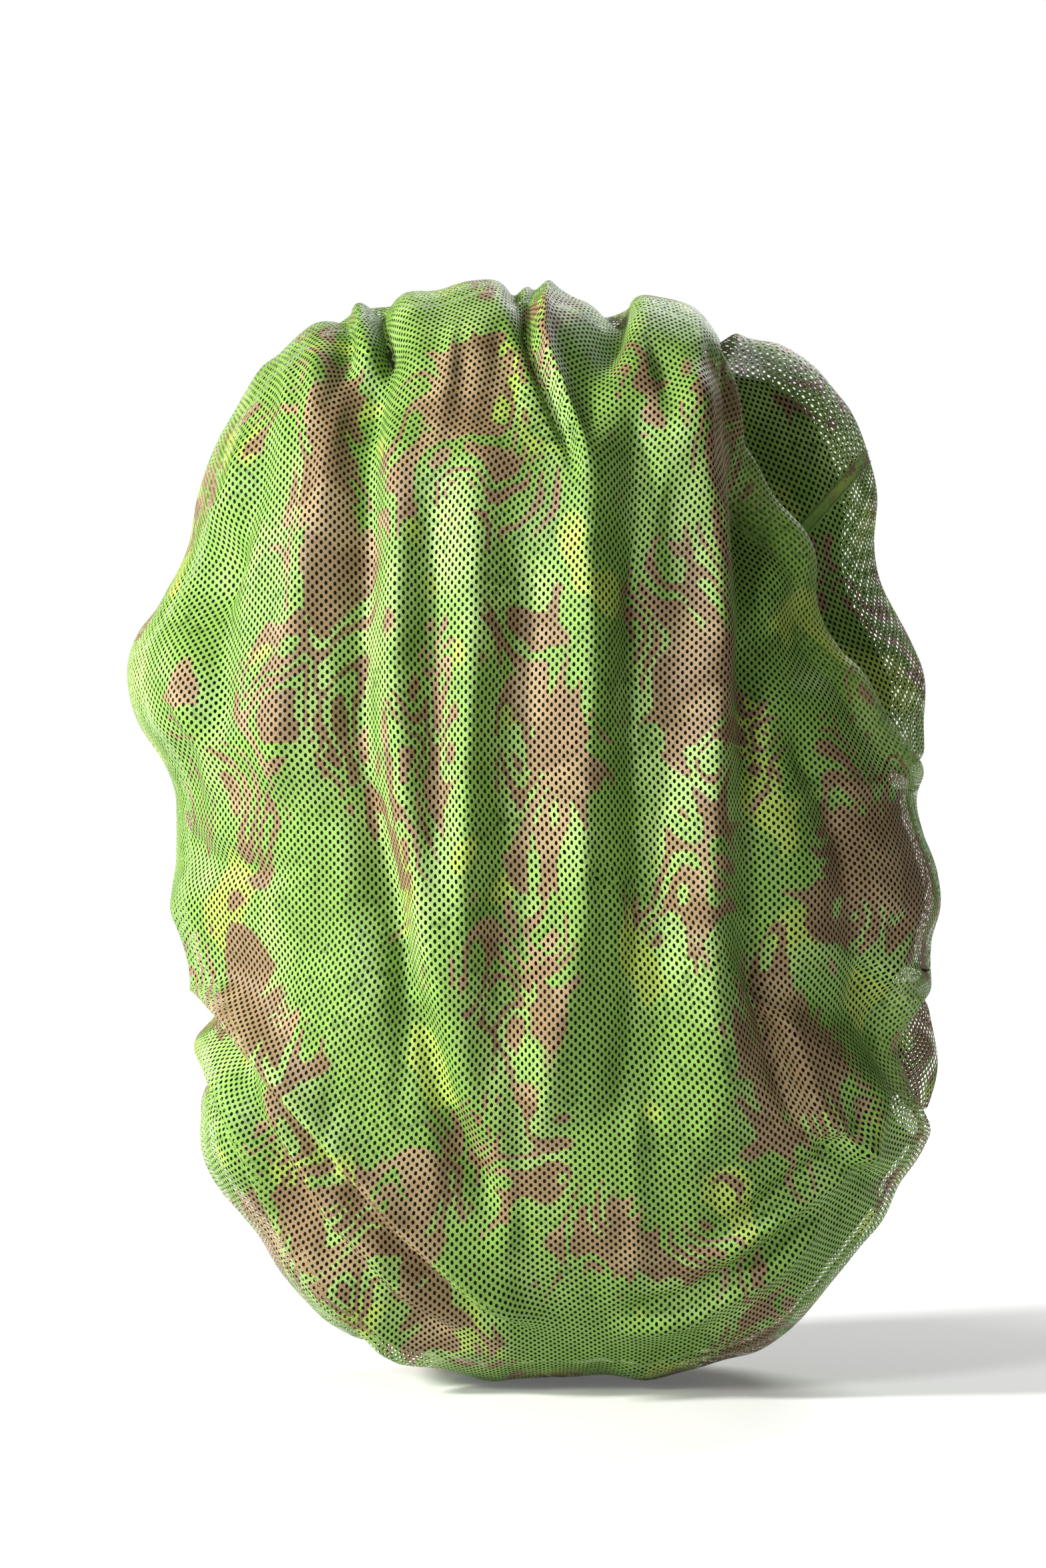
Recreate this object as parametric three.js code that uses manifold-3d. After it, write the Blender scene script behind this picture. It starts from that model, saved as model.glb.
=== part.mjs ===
// Perforated camouflage cover for a rucksack: a mesh bag that is pulled over the pack from the outside.
// Its hem turns in on the harness side, where a drawcord in a casing and one buckled strap hold it.
// Millimetres. +X is right as seen from behind the wearer, -Y the outward face, +Z up. Origin: base centre.
import * as THREE from "three";
import { mergeVertices } from "three/addons/utils/BufferGeometryUtils.js";
import Module from "manifold-3d";

const wasm = await Module();
wasm.setup();

// Driving dimensions of the filled cover.
const coverWidth = 552;
const coverHeight = 743;
const faceDepth = 205; // from the widest section out to the face
const backDepth = 130; // from the widest section to the harness side
const harnessY = 165; // plane of the harness side
const clothThickness = 1.5;
const seamGap = 0.3; // between pieces that lie against each other
const gapMargin = 1.4; // the cloth's own seams are a little wider, as they narrow where they slant

// The turn-in and its mouth.
const mouthHalfWidth = 136;
const mouthHalfHeight = 232;
const flatShare = 0.82; // outline scale at which the turn-in becomes flat
const casingWidth = 13;
const casingDepth = 7;
const casingRoom = 0.4; // between the casing and the edge of the mouth, besides the seam gap
const cordExitHalf = 30; // half the gap in the casing where the cord comes out

// Drawcord and cord lock.
const cordDiameter = 3;
const cordClearance = 0.3;
const cordPitch = 4.4; // between the two strands in the lock
const lockWall = 1.7;
const lockLip = 4; // from the strands to the open end of the lock
const plungerTravel = 4.5;
const plungerClearance = 0.3;
const plungerHeight = 9;
const plungerCheek = 1.2; // left of the plunger beside the strands
const plungerHeel = 3.2; // from the strands to the plunger's spring end
const capThickness = 4;
const capInset = 0.6;
const springLength = 8;
const springTurns = 5;
const springWire = 0.7;
const springInset = 1.2; // from the plunger's edge to the middle of the wire
const lockDrop = 36; // from the casing down to the middle of the lock
const lockSlide = 16; // how far the lock slides down the strands
const cordEndHeight = 14;
const cordEndWidth = 8;
const cordEndWall = 1.5;
const cordTuck = 0.6; // share of the cord end's height that the strands reach into
const patchThickness = 1.5;
const patchMargin = 4;

// Retaining strap and side-release buckle.
const webbingWidth = 25;
const webbingThickness = 1.6;
const webbingClearance = 0.4;
const webbingSideRoom = 0.5; // each side of the webbing in a slot
const railWidth = 4;
const buckleHalfHeight = webbingWidth / 2 + webbingSideRoom + railWidth;
const housingLength = 33;
const housingHalfDepth = 5.5;
const frameHalfDepth = 2.5;
const frameLength = 26;
const barLength = 9;
const slotLength = 4.5;
const slotPitch = 7.5; // between the tongue's two slots
const slotsInset = 10; // from the tongue's shoulder to its first slot
const pocketClearance = 0.6;
const windowRoom = 1;
const spineLength = 20;
const spineHalfHeight = 3;
const armReach = 23.5;
const armHeadLength = 14.5;
const anchorSize = 38;
const strapFold = 45; // sewn overlap of the fixed strap
const tailLength = 80; // free end of the adjustable strap
const keeperWidth = 10;
const keeperWall = 1.2;
const keeperRoom = 0.4; // each side of the webbing

const centreZ = coverHeight / 2;
const widestY = harnessY - backDepth;
const Y = new THREE.Vector3(0, 1, 0);

const materials = {
  meshGreen: { color: 0x8fc35a, roughness: 0.85, metalness: 0 },
  hemGreen: { color: 0x6f8f45, roughness: 0.8, metalness: 0 },
  webbingOlive: { color: 0x5b6440, roughness: 0.75, metalness: 0 },
  cordOlive: { color: 0x4b5436, roughness: 0.7, metalness: 0 },
  plasticOlive: { color: 0x3d4430, roughness: 0.45, metalness: 0 },
  springSteel: { color: 0xb9bcc0, roughness: 0.3, metalness: 1 },
};

const group = new THREE.Group();

function add(name, geometry, finish, parent = group) {
  geometry.computeVertexNormals();
  const mesh = new THREE.Mesh(geometry, new THREE.MeshStandardMaterial(materials[finish]));
  mesh.name = name;
  parent.add(mesh);
  return mesh;
}

function indexed(points, triangles) {
  const geometry = new THREE.BufferGeometry().setFromPoints(points);
  geometry.setIndex(triangles);
  return geometry;
}

function toSolid(geometry) {
  const bare = geometry.clone();
  bare.deleteAttribute("normal");
  bare.deleteAttribute("uv");
  const merged = mergeVertices(bare, 1e-4);
  return new wasm.Manifold(
    new wasm.Mesh({
      numProp: 3,
      vertProperties: new Float32Array(merged.attributes.position.array),
      triVerts: new Uint32Array(merged.index.array),
    }),
  );
}

function toGeometry(solid) {
  const mesh = solid.getMesh();
  const geometry = new THREE.BufferGeometry();
  geometry.setAttribute("position", new THREE.BufferAttribute(mesh.vertProperties, 3));
  geometry.setIndex(new THREE.BufferAttribute(mesh.triVerts, 1));
  return geometry;
}

function joined(...geometries) {
  return geometries.map(toSolid).reduce((sum, next) => sum.add(next));
}

// --- The shell: one surface, cut into panels -------------------------------------------------

// Filled outline seen from the face, from the bottom middle anticlockwise: shares of half the width
// and of the height.
const outline = new THREE.CatmullRomCurve3(
  [
    [0.06, 0.0],
    [0.54, 0.03],
    [0.84, 0.13],
    [0.985, 0.24],
    [0.96, 0.36],
    [0.99, 0.45],
    [0.93, 0.54],
    [0.97, 0.63],
    [0.86, 0.74],
    [0.81, 0.85],
    [0.68, 0.94],
    [0.3, 0.985],
    [-0.15, 1.0],
    [-0.55, 0.965],
    [-0.76, 0.87],
    [-0.86, 0.76],
    [-1.0, 0.65],
    [-0.92, 0.55],
    [-0.87, 0.45],
    [-0.79, 0.35],
    [-0.82, 0.24],
    [-0.7, 0.12],
    [-0.4, 0.03],
  ].map(([x, z]) => new THREE.Vector3((x * coverWidth) / 2, 0, z * coverHeight)),
  true,
  "centripetal",
);

// Seams between the walls, as shares of the way round the outline.
const seams = { lowerRight: 0.12, upperRight: 0.37, upperLeft: 0.575, lowerLeft: 0.845 };
// Stations along the section: the face ends at faceEdge, the walls at 1, the turn-in at 2.
const faceEdge = 0.34;

const faceFullness = 2 / 2.5; // exponents that make the sections fuller than an ellipse
const backFullness = 2 / 2.3;

function mouthPoint(direction, halfWidth, halfHeight) {
  const angle = Math.atan2(direction.z / halfHeight, direction.x / halfWidth);
  return new THREE.Vector3(halfWidth * Math.cos(angle), harnessY, centreZ + halfHeight * Math.sin(angle));
}

function shellPoint(u, v) {
  const rim = outline.getPointAt(((u % 1) + 1) % 1);
  const reach = new THREE.Vector3(rim.x, 0, rim.z - centreZ);
  if (v > 1) {
    const share = flatShare - (gapMargin * seamGap) / reach.length();
    const start = new THREE.Vector3(reach.x * share, harnessY, centreZ + reach.z * share);
    return start.lerp(mouthPoint(reach, mouthHalfWidth, mouthHalfHeight), v - 1);
  }
  const turn = v * Math.PI;
  const sine = Math.sin(turn);
  const cosine = Math.abs(Math.cos(turn));
  if (turn <= Math.PI / 2) {
    const share = sine ** faceFullness;
    const y = widestY - faceDepth * cosine ** faceFullness;
    return new THREE.Vector3(reach.x * share, y, centreZ + reach.z * share);
  }
  const share = flatShare + (1 - flatShare) * sine ** backFullness;
  const y = widestY + backDepth * cosine ** backFullness;
  return new THREE.Vector3(reach.x * share, y, centreZ + reach.z * share);
}

function outward(u, v) {
  if (v > 1) return Y.clone();
  if (v === 0) return Y.clone().negate();
  const step = 1e-3;
  const along = shellPoint(u, Math.min(v + step, 1)).sub(shellPoint(u, v - step));
  const around = shellPoint(u + step, v).sub(shellPoint(u - step, v));
  return along.cross(around).normalize();
}

// A piece of cloth on the shell: places round it are a list, stations along the section run evenly.
// A ring has no side edges. It is closed by the thickness of the cloth along its edges.
function panel(places, vFrom, vTo, vSteps, ring = false) {
  const columns = places.length;
  const uSteps = ring ? columns : columns - 1;
  const points = [];
  const triangles = [];
  const id = (layer, i, j) => layer * columns * (vSteps + 1) + j * columns + (i % columns);
  for (const depth of [0, clothThickness]) {
    for (let j = 0; j <= vSteps; j++) {
      const v = vFrom + ((vTo - vFrom) * j) / vSteps;
      for (const u of places) points.push(shellPoint(u, v).addScaledVector(outward(u, v), -depth));
    }
  }
  const quad = (a, b, c, d) => triangles.push(a, b, c, a, c, d);
  for (let j = 0; j < vSteps; j++) {
    for (let i = 0; i < uSteps; i++) {
      quad(id(0, i, j), id(0, i, j + 1), id(0, i + 1, j + 1), id(0, i + 1, j));
      quad(id(1, i, j), id(1, i + 1, j), id(1, i + 1, j + 1), id(1, i, j + 1));
    }
    if (!ring) {
      quad(id(0, 0, j), id(1, 0, j), id(1, 0, j + 1), id(0, 0, j + 1));
      quad(id(0, uSteps, j), id(0, uSteps, j + 1), id(1, uSteps, j + 1), id(1, uSteps, j));
    }
  }
  for (let i = 0; i < uSteps; i++) {
    quad(id(0, i, vSteps), id(1, i, vSteps), id(1, i + 1, vSteps), id(0, i + 1, vSteps));
    if (vFrom > 0) quad(id(0, i, 0), id(0, i + 1, 0), id(1, i + 1, 0), id(1, i, 0));
  }
  return indexed(points, triangles);
}

// The face narrows to one point in its middle, so its first row becomes a fan.
function facePanel(places, vSteps) {
  const geometry = mergeVertices(panel(places, 0, faceEdge, vSteps, true), 1e-3);
  const index = geometry.index.array;
  const kept = [];
  for (let k = 0; k < index.length; k += 3) {
    const [a, b, c] = index.slice(k, k + 3);
    if (a !== b && b !== c && c !== a) kept.push(a, b, c);
  }
  geometry.setIndex(kept);
  return geometry;
}

// Gaps at the seams, as shares of the way round the outline and of the section.
const uGap = (gapMargin * seamGap) / outline.getLength();
const faceGap = (gapMargin * seamGap) / (faceDepth + backDepth);
const turnInStart = 1 + 1e-4; // just past the wall's last station
const placesRound = 48;
const wallSteps = 8;

// Each wall's places round the outline, seam to seam.
const walls = {
  bottom: [seams.lowerLeft - 1, seams.lowerRight],
  right: [seams.lowerRight, seams.upperRight],
  top: [seams.upperRight, seams.upperLeft],
  left: [seams.upperLeft, seams.lowerLeft],
};
const facePlaces = [];
for (const [side, [from, to]] of Object.entries(walls)) {
  const steps = Math.round((to - from) * placesRound);
  const places = Array.from({ length: steps + 1 }, (_, i) => from + ((to - from) * i) / steps);
  facePlaces.push(...places.slice(0, -1));
  places[0] += uGap / 2;
  places[steps] -= uGap / 2;
  add(`${side}_wall`, panel(places, faceEdge + faceGap, 1, wallSteps), "meshGreen");
  add(`${side}_turn_in`, panel(places, turnInStart, 2, 1), "meshGreen");
}
add("face_panel", facePanel(facePlaces, wallSteps), "meshGreen");

// --- Hem: casing and drawcord ----------------------------------------------------------------

// A body swept along a path that never runs along Y. The section's first number lies across the path,
// its second along Y; a second loop makes it a pipe.
function sweep(path, loop, hole = null) {
  const points = [];
  const triangles = [];
  const count = loop.length;
  const loops = hole ? [loop, hole] : [loop];
  path.forEach((centre, k) => {
    const before = path[Math.max(k - 1, 0)];
    const after = path[Math.min(k + 1, path.length - 1)];
    const tangent = after.clone().sub(before).normalize();
    const across = new THREE.Vector3().crossVectors(Y, tangent).normalize();
    const up = new THREE.Vector3().crossVectors(tangent, across);
    for (const section of loops) {
      for (const [a, b] of section) {
        points.push(centre.clone().addScaledVector(across, a).addScaledVector(up, b));
      }
    }
  });
  const id = (k, which, i) => (k * loops.length + which) * count + (i % count);
  const quad = (a, b, c, d) => triangles.push(a, b, c, a, c, d);
  const last = path.length - 1;
  for (let i = 0; i < count; i++) {
    for (let k = 0; k < last; k++) {
      quad(id(k, 0, i), id(k, 0, i + 1), id(k + 1, 0, i + 1), id(k + 1, 0, i));
      if (hole) quad(id(k, 1, i), id(k + 1, 1, i), id(k + 1, 1, i + 1), id(k, 1, i + 1));
    }
    if (hole) {
      quad(id(0, 0, i), id(0, 1, i), id(0, 1, i + 1), id(0, 0, i + 1));
      quad(id(last, 0, i), id(last, 0, i + 1), id(last, 1, i + 1), id(last, 1, i));
    } else if (i > 0 && i < count - 1) {
      triangles.push(id(0, 0, 0), id(0, 0, i + 1), id(0, 0, i));
      triangles.push(id(last, 0, 0), id(last, 0, i), id(last, 0, i + 1));
    }
  }
  return indexed(points, triangles);
}

function oval(halfAcross, halfUp, sides) {
  return Array.from({ length: sides }, (_, i) => {
    const angle = ((i + 0.5) / sides) * 2 * Math.PI;
    return [halfAcross * Math.cos(angle), halfUp * Math.sin(angle)];
  });
}

// The casing lies along the inside of the mouth, flush with the harness side. Its two open ends
// leave the cord exit at the bottom middle.
const casingY = harnessY - casingDepth / 2;
const casingInset = casingWidth / 2 + seamGap + casingRoom;
const casingHalfWidth = mouthHalfWidth - casingInset;
const casingHalfHeight = mouthHalfHeight - casingInset;

function casingPoint(angle) {
  const x = casingHalfWidth * Math.sin(angle);
  return new THREE.Vector3(x, casingY, centreZ - casingHalfHeight * Math.cos(angle));
}

const exitAngle = Math.asin(cordExitHalf / casingHalfWidth);
const casingPath = Array.from({ length: 57 }, (_, k) =>
  casingPoint(exitAngle + (k / 56) * (2 * Math.PI - 2 * exitAngle)),
);
const cordBore = cordDiameter / 2 + cordClearance;
add(
  "hem_casing",
  sweep(casingPath, oval(casingWidth / 2, casingDepth / 2, 8), oval(cordBore, cordBore, 8)),
  "hemGreen",
);

// Heights and depths of what hangs below the cord exit.
const patchY = harnessY + seamGap;
const slotHalfDepth = (cordPitch + cordDiameter) / 2 + cordClearance;
const lockHalfDepth = slotHalfDepth + plungerCheek + plungerClearance + lockWall;
const lockY = patchY + patchThickness + seamGap + lockHalfDepth;
const casingBottomZ = centreZ - casingHalfHeight;
const lockZ = casingBottomZ - lockDrop;
const lockHalfHeight = plungerHeight / 2 + plungerClearance + lockWall;
const cordEndRoom = 2; // left between the lock and the cord end when the lock is at its lowest
const cordEndTopZ = lockZ - lockHalfHeight - lockSlide - cordEndRoom;

// Half of the drawcord's free stretch, from the cord end up to the casing on one side.
function strand(side) {
  const y = lockY + (side * cordPitch) / 2;
  const straightTopZ = lockZ + lockHalfHeight + cordDiameter;
  const tuckedZ = cordEndTopZ - cordEndHeight * cordTuck;
  const entry = casingPoint(side * exitAngle);
  const bend = new THREE.CubicBezierCurve3(
    new THREE.Vector3(0, y, straightTopZ),
    new THREE.Vector3(0, y + 1, casingBottomZ + 4),
    new THREE.Vector3(side * 12, casingY + 5, casingBottomZ + 1),
    entry,
  );
  return [new THREE.Vector3(0, y, tuckedZ), new THREE.Vector3(0, y, lockZ), ...bend.getPoints(9)];
}
const insideCasing = casingPath.slice(1, -1);
const cordPath = [...strand(1), ...insideCasing, ...strand(-1).reverse()];
add("drawcord", sweep(cordPath, oval(cordDiameter / 2, cordDiameter / 2, 8)), "cordOlive");

// --- Plates, posts and bars ------------------------------------------------------------------

function roundedRectangle(width, height, corner) {
  const shape = new THREE.Shape();
  const x = width / 2 - corner;
  const y = height / 2 - corner;
  shape.absarc(x, y, corner, 0, Math.PI / 2);
  shape.absarc(-x, y, corner, Math.PI / 2, Math.PI);
  shape.absarc(-x, -y, corner, Math.PI, 1.5 * Math.PI);
  shape.absarc(x, -y, corner, 1.5 * Math.PI, 2 * Math.PI);
  return shape;
}

// Extrudes a shape along an axis, centred on the origin, its own first axis along the next one.
function prism(shape, length, axis) {
  const geometry = new THREE.ExtrudeGeometry(shape, { depth: length, bevelEnabled: false, curveSegments: 4 });
  geometry.translate(0, 0, -length / 2);
  const [x, z] = [new THREE.Vector3(1, 0, 0), new THREE.Vector3(0, 0, 1)];
  const turned = {
    x: new THREE.Matrix4().makeBasis(Y, z, x),
    y: new THREE.Matrix4().makeBasis(x, z, Y.clone().negate()),
    z: new THREE.Matrix4(),
  }[axis];
  return geometry.applyMatrix4(turned);
}

function block(fromX, toX, halfY, halfZ, corner = 0.8) {
  const shape = roundedRectangle(2 * halfY, 2 * halfZ, Math.min(corner, halfY * 0.95, halfZ * 0.95));
  return prism(shape, toX - fromX, "x").translate((fromX + toX) / 2, 0, 0);
}

// A patch of webbing sewn on the turn-in, a thin plate in the harness plane.
function patch(name, x, z, width, height) {
  const plate = prism(roundedRectangle(width, height, 4), patchThickness, "y");
  plate.translate(x, patchY + patchThickness / 2, z);
  add(name, plate, "webbingOlive");
}

// --- Cord lock -------------------------------------------------------------------------------

const exitPatchHeight = 46;
const exitPatchTopZ = centreZ - mouthHalfHeight - patchMargin;
const exitPatchWidth = 2 * cordExitHalf + 1.5 * patchMargin;
patch("exit_patch", 0, exitPatchTopZ - exitPatchHeight / 2, exitPatchWidth, exitPatchHeight);

// In the lock the strands run along Z at x = 0, and the plunger moves along X.
const slotHalf = cordBore;
const plungerHalfDepth = lockHalfDepth - lockWall - plungerClearance;
const plungerEnd = slotHalf + plungerHeel;
const lockMouthX = slotHalf + lockLip;
const lockFloorX = -(plungerEnd + springLength);
const lockEndX = lockFloorX - lockWall;
const lock = new THREE.Group();
lock.position.set(0, lockY, lockZ);
group.add(lock);

function strandHoles(radius, length) {
  const round = new THREE.Shape().absarc(0, 0, radius, 0, 2 * Math.PI);
  const holes = [-1, 1].map((side) => prism(round, length, "z").translate(0, (side * cordPitch) / 2, 0));
  return joined(...holes);
}

const lockCavity = block(
  lockFloorX,
  lockMouthX + 1,
  plungerHalfDepth + plungerClearance,
  plungerHeight / 2 + plungerClearance,
);
const lockBody = toSolid(block(lockEndX, lockMouthX, lockHalfDepth, lockHalfHeight, 3.5))
  .subtract(toSolid(lockCavity))
  .subtract(strandHoles(cordBore, 4 * lockHalfHeight));
add("cord_lock_body", toGeometry(lockBody), "plasticOlive", lock);

const capFrom = lockMouthX + plungerTravel + seamGap;
const slot = prism(
  roundedRectangle(2 * slotHalf + plungerTravel, 2 * slotHalfDepth, plungerCheek),
  2 * plungerHeight,
  "z",
).translate(plungerTravel / 2, 0, 0);
const plunger = joined(
  block(-plungerEnd, capFrom + 0.5, plungerHalfDepth, plungerHeight / 2),
  block(capFrom, capFrom + capThickness, lockHalfDepth - capInset, lockHalfHeight - capInset, 3),
).subtract(toSolid(slot));
add("cord_lock_plunger", toGeometry(plunger), "plasticOlive", lock);

// The return spring stands between the floor of the body and the end of the plunger.
class Helix extends THREE.Curve {
  getPoint(t) {
    const turn = t * springTurns * 2 * Math.PI;
    const radius = plungerHeight / 2 - springInset;
    const rise = springWire / 2 + seamGap;
    const x = lockFloorX + rise + t * (springLength - 2 * rise);
    return new THREE.Vector3(x, radius * Math.cos(turn), radius * Math.sin(turn));
  }
}
const wireLoop = oval(springWire / 2, springWire / 2, 6).map(([a, b]) => new THREE.Vector2(a, b));
const wire = new THREE.Shape(wireLoop);
const coil = new THREE.ExtrudeGeometry(wire, { steps: springTurns * 10, extrudePath: new Helix() });
add("cord_lock_spring", coil, "springSteel", lock);

// Both ends of the cord are tucked into one cord end.
const cordEndDepth = 2 * (slotHalfDepth + cordEndWall);
const cordEndHoles = strandHoles(cordBore, cordEndHeight).translate(0, 0, cordEndHeight * (0.95 - cordTuck));
const cordEndBlock = prism(roundedRectangle(cordEndWidth, cordEndDepth, 2.5), cordEndHeight, "z");
const cordEnd = toSolid(cordEndBlock).subtract(cordEndHoles);
add("cord_end", toGeometry(cordEnd).translate(0, lockY, cordEndTopZ - cordEndHeight / 2), "plasticOlive");

// --- Retaining strap -------------------------------------------------------------------------

const strapZ = centreZ;
const strapInnerY = patchY + patchThickness + seamGap;
const strapMiddleY = strapInnerY + webbingThickness / 2;
const buckleY = strapInnerY + webbingThickness + webbingClearance + frameHalfDepth;
const buckleX = 6; // end face of the buckle housing

// A closed band of even thickness along a line in the XY plane.
function band(line, thickness) {
  const left = [];
  const right = [];
  line.forEach((point, k) => {
    const before = line[Math.max(k - 1, 0)];
    const after = line[Math.min(k + 1, line.length - 1)];
    const along = after.clone().sub(before).normalize();
    const inTo = point.clone().sub(before).normalize();
    const bisector = k > 0 && k < line.length - 1 ? along.dot(inTo) : 1;
    const offset = new THREE.Vector2(-along.y, along.x).multiplyScalar(thickness / 2 / bisector);
    left.push(point.clone().add(offset));
    right.unshift(point.clone().sub(offset));
  });
  return new THREE.Shape([...right, ...left]);
}

// Webbing that comes from its anchor, turns round a bar and comes back on top of itself.
function hairpin(anchorX, turnX, endX, direction) {
  const rise = frameHalfDepth + webbingClearance + webbingThickness / 2;
  const line = [new THREE.Vector2(anchorX, strapMiddleY)];
  const bend = webbingThickness / 2 + webbingClearance;
  const inner = turnX - direction * bend;
  for (const half of [-1, 1]) {
    for (let k = 0; k <= 3; k++) {
      const angle = (Math.PI / 6) * (half < 0 ? k : 3 - k);
      const y = buckleY + half * (rise - bend + bend * Math.cos(angle));
      line.push(new THREE.Vector2(inner + direction * bend * Math.sin(angle), y));
    }
  }
  const overY = buckleY + rise;
  const restY = strapMiddleY + webbingThickness + webbingClearance;
  line.push(new THREE.Vector2(inner - direction * barLength * 1.4, overY));
  line.push(new THREE.Vector2(inner - direction * barLength * 2.6, restY));
  line.push(new THREE.Vector2(endX, restY));
  return line;
}

function addStrap(name, line) {
  const strip = prism(band(line, webbingThickness), webbingWidth, "z").translate(0, 0, strapZ);
  add(name, strip, "webbingOlive");
}

function anchorX(side) {
  const edge = casingHalfWidth + casingInset;
  return side * (edge + anchorSize / 2 + 0.75 * patchMargin);
}
patch("left_anchor_patch", anchorX(-1), strapZ, anchorSize, anchorSize);
patch("right_anchor_patch", anchorX(1), strapZ, anchorSize, anchorSize);
const sewnEnd = anchorSize / 2 - patchMargin;

const buckle = new THREE.Group();
buckle.position.set(buckleX, buckleY, strapZ);
group.add(buckle);
const innerHalf = buckleHalfHeight - railWidth; // half height of the slots and the pocket

// Housing half: pocket for the arms, windows for their heads, and a bar for the fixed strap.
const windowFrom = -(armReach + 2.5 * windowRoom);
const windowTo = -(armReach - armHeadLength - windowRoom);
const pocketHalfDepth = frameHalfDepth + 0.8;
const barSlotFrom = -housingLength - barLength + railWidth;
const housing = joined(
  block(-housingLength, 0, housingHalfDepth, buckleHalfHeight, 2.5),
  block(-housingLength - barLength, -housingLength + 1, frameHalfDepth, buckleHalfHeight, 1.5),
)
  .subtract(toSolid(block(-housingLength + 3, 1, pocketHalfDepth, innerHalf + pocketClearance)))
  .subtract(toSolid(block(windowFrom, windowTo, pocketHalfDepth, buckleHalfHeight + 1)))
  .subtract(toSolid(block(barSlotFrom, -housingLength, housingHalfDepth, innerHalf)));
add("buckle_housing", toGeometry(housing), "plasticOlive", buckle);

// Tongue half: frame with two webbing slots, and the spine that guides it in the pocket.
const frameStart = 1;
const slotsFrom = frameStart + slotsInset;
const secondSlot = slotsFrom + slotPitch;
const tongue = joined(
  block(frameStart, frameStart + frameLength, frameHalfDepth, buckleHalfHeight, 1.5),
  block(-spineLength, frameStart + 1, frameHalfDepth, spineHalfHeight),
)
  .subtract(toSolid(block(slotsFrom, slotsFrom + slotLength, housingHalfDepth, innerHalf)))
  .subtract(toSolid(block(secondSlot, secondSlot + slotLength, housingHalfDepth, innerHalf)));
add("buckle_tongue", toGeometry(tongue), "plasticOlive", buckle);

// Sprung arms: each bends in about its root at the frame, so that its head leaves the window.
// Its heights are measured from the buckle's outer edge.
function arm(side) {
  const root = frameStart - 0.6;
  const headFrom = -(armReach - armHeadLength) - 1;
  const shape = new THREE.Shape();
  shape.moveTo(root, buckleHalfHeight - 10.8);
  shape.lineTo(root, buckleHalfHeight - 7.2);
  shape.lineTo(headFrom, buckleHalfHeight - 5.5);
  shape.lineTo(headFrom, buckleHalfHeight - 0.6);
  shape.quadraticCurveTo(-armReach + 3, buckleHalfHeight - 1, -armReach, buckleHalfHeight - 7);
  shape.lineTo(-armReach + 2, buckleHalfHeight - 8.8);
  shape.closePath();
  const upper = prism(shape, 2 * frameHalfDepth, "y");
  return side > 0 ? upper : upper.rotateX(Math.PI);
}
add("buckle_arm_upper", arm(1), "plasticOlive", buckle);
add("buckle_arm_lower", arm(-1), "plasticOlive", buckle);

// The fixed strap turns round the housing's bar, the adjustable one round the tongue's middle bar.
const fixedTurnX = buckleX - housingLength - barLength + railWidth + webbingClearance + webbingThickness / 2;
addStrap("fixed_strap", hairpin(anchorX(-1) - sewnEnd, fixedTurnX, fixedTurnX - strapFold, 1));
const freeTurnX = buckleX + slotsFrom + slotLength - webbingClearance - webbingThickness / 2;
addStrap("adjustable_strap", hairpin(anchorX(1) + sewnEnd, freeTurnX, freeTurnX + tailLength, -1));

// The elastic keeper holds the free end down on the strap.
const keeperX = freeTurnX + tailLength * 0.6;
const keeperHalfDepth = webbingThickness + webbingClearance / 2 + cordClearance;
const keeperHalfHeight = webbingWidth / 2 + keeperRoom;
const keeperBlock = block(
  -keeperWidth / 2,
  keeperWidth / 2,
  keeperHalfDepth + keeperWall,
  keeperHalfHeight + keeperWall,
);
const keeperHole = block(-keeperWidth, keeperWidth, keeperHalfDepth, keeperHalfHeight, keeperWall / 4);
const keeper = toSolid(keeperBlock).subtract(toSolid(keeperHole));
const strapStackY = strapInnerY + webbingThickness + webbingClearance / 2;
add("strap_keeper", toGeometry(keeper).translate(keeperX, strapStackY, strapZ), "cordOlive");

export default group;
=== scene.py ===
"""Mesh rucksack cover: perforated cloth, gathered hem, drawcord, lock and strap, round the frame."""

import bmesh
import bpy
import numpy as np
from bpy.props import FloatProperty, FloatVectorProperty, IntProperty, PointerProperty
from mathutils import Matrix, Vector


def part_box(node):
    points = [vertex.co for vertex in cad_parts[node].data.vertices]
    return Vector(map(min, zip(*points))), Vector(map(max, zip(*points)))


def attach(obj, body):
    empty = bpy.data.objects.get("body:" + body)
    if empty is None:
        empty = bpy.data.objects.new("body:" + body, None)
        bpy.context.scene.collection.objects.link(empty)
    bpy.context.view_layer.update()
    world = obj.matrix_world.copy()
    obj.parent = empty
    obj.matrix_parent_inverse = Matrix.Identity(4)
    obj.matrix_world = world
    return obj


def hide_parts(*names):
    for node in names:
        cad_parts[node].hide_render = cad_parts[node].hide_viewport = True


bl_info = {
    "name": "Mesh Rucksack Cover",
    "version": (1, 0, 0),
    "blender": (4, 5, 0),
    "location": "3D View > Sidebar > Pack Cover",
    "description": "Builds a perforated camouflage cover for a rucksack",
    "category": "Add Mesh",
}

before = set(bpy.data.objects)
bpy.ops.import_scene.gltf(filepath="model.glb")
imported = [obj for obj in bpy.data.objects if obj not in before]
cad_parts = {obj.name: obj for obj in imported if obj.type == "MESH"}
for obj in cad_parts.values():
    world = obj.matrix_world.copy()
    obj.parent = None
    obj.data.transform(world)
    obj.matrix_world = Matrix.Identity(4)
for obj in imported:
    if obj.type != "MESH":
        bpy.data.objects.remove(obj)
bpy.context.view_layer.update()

# --- Shape of the filled cover, in metres -----------------------------------------------------

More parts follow.
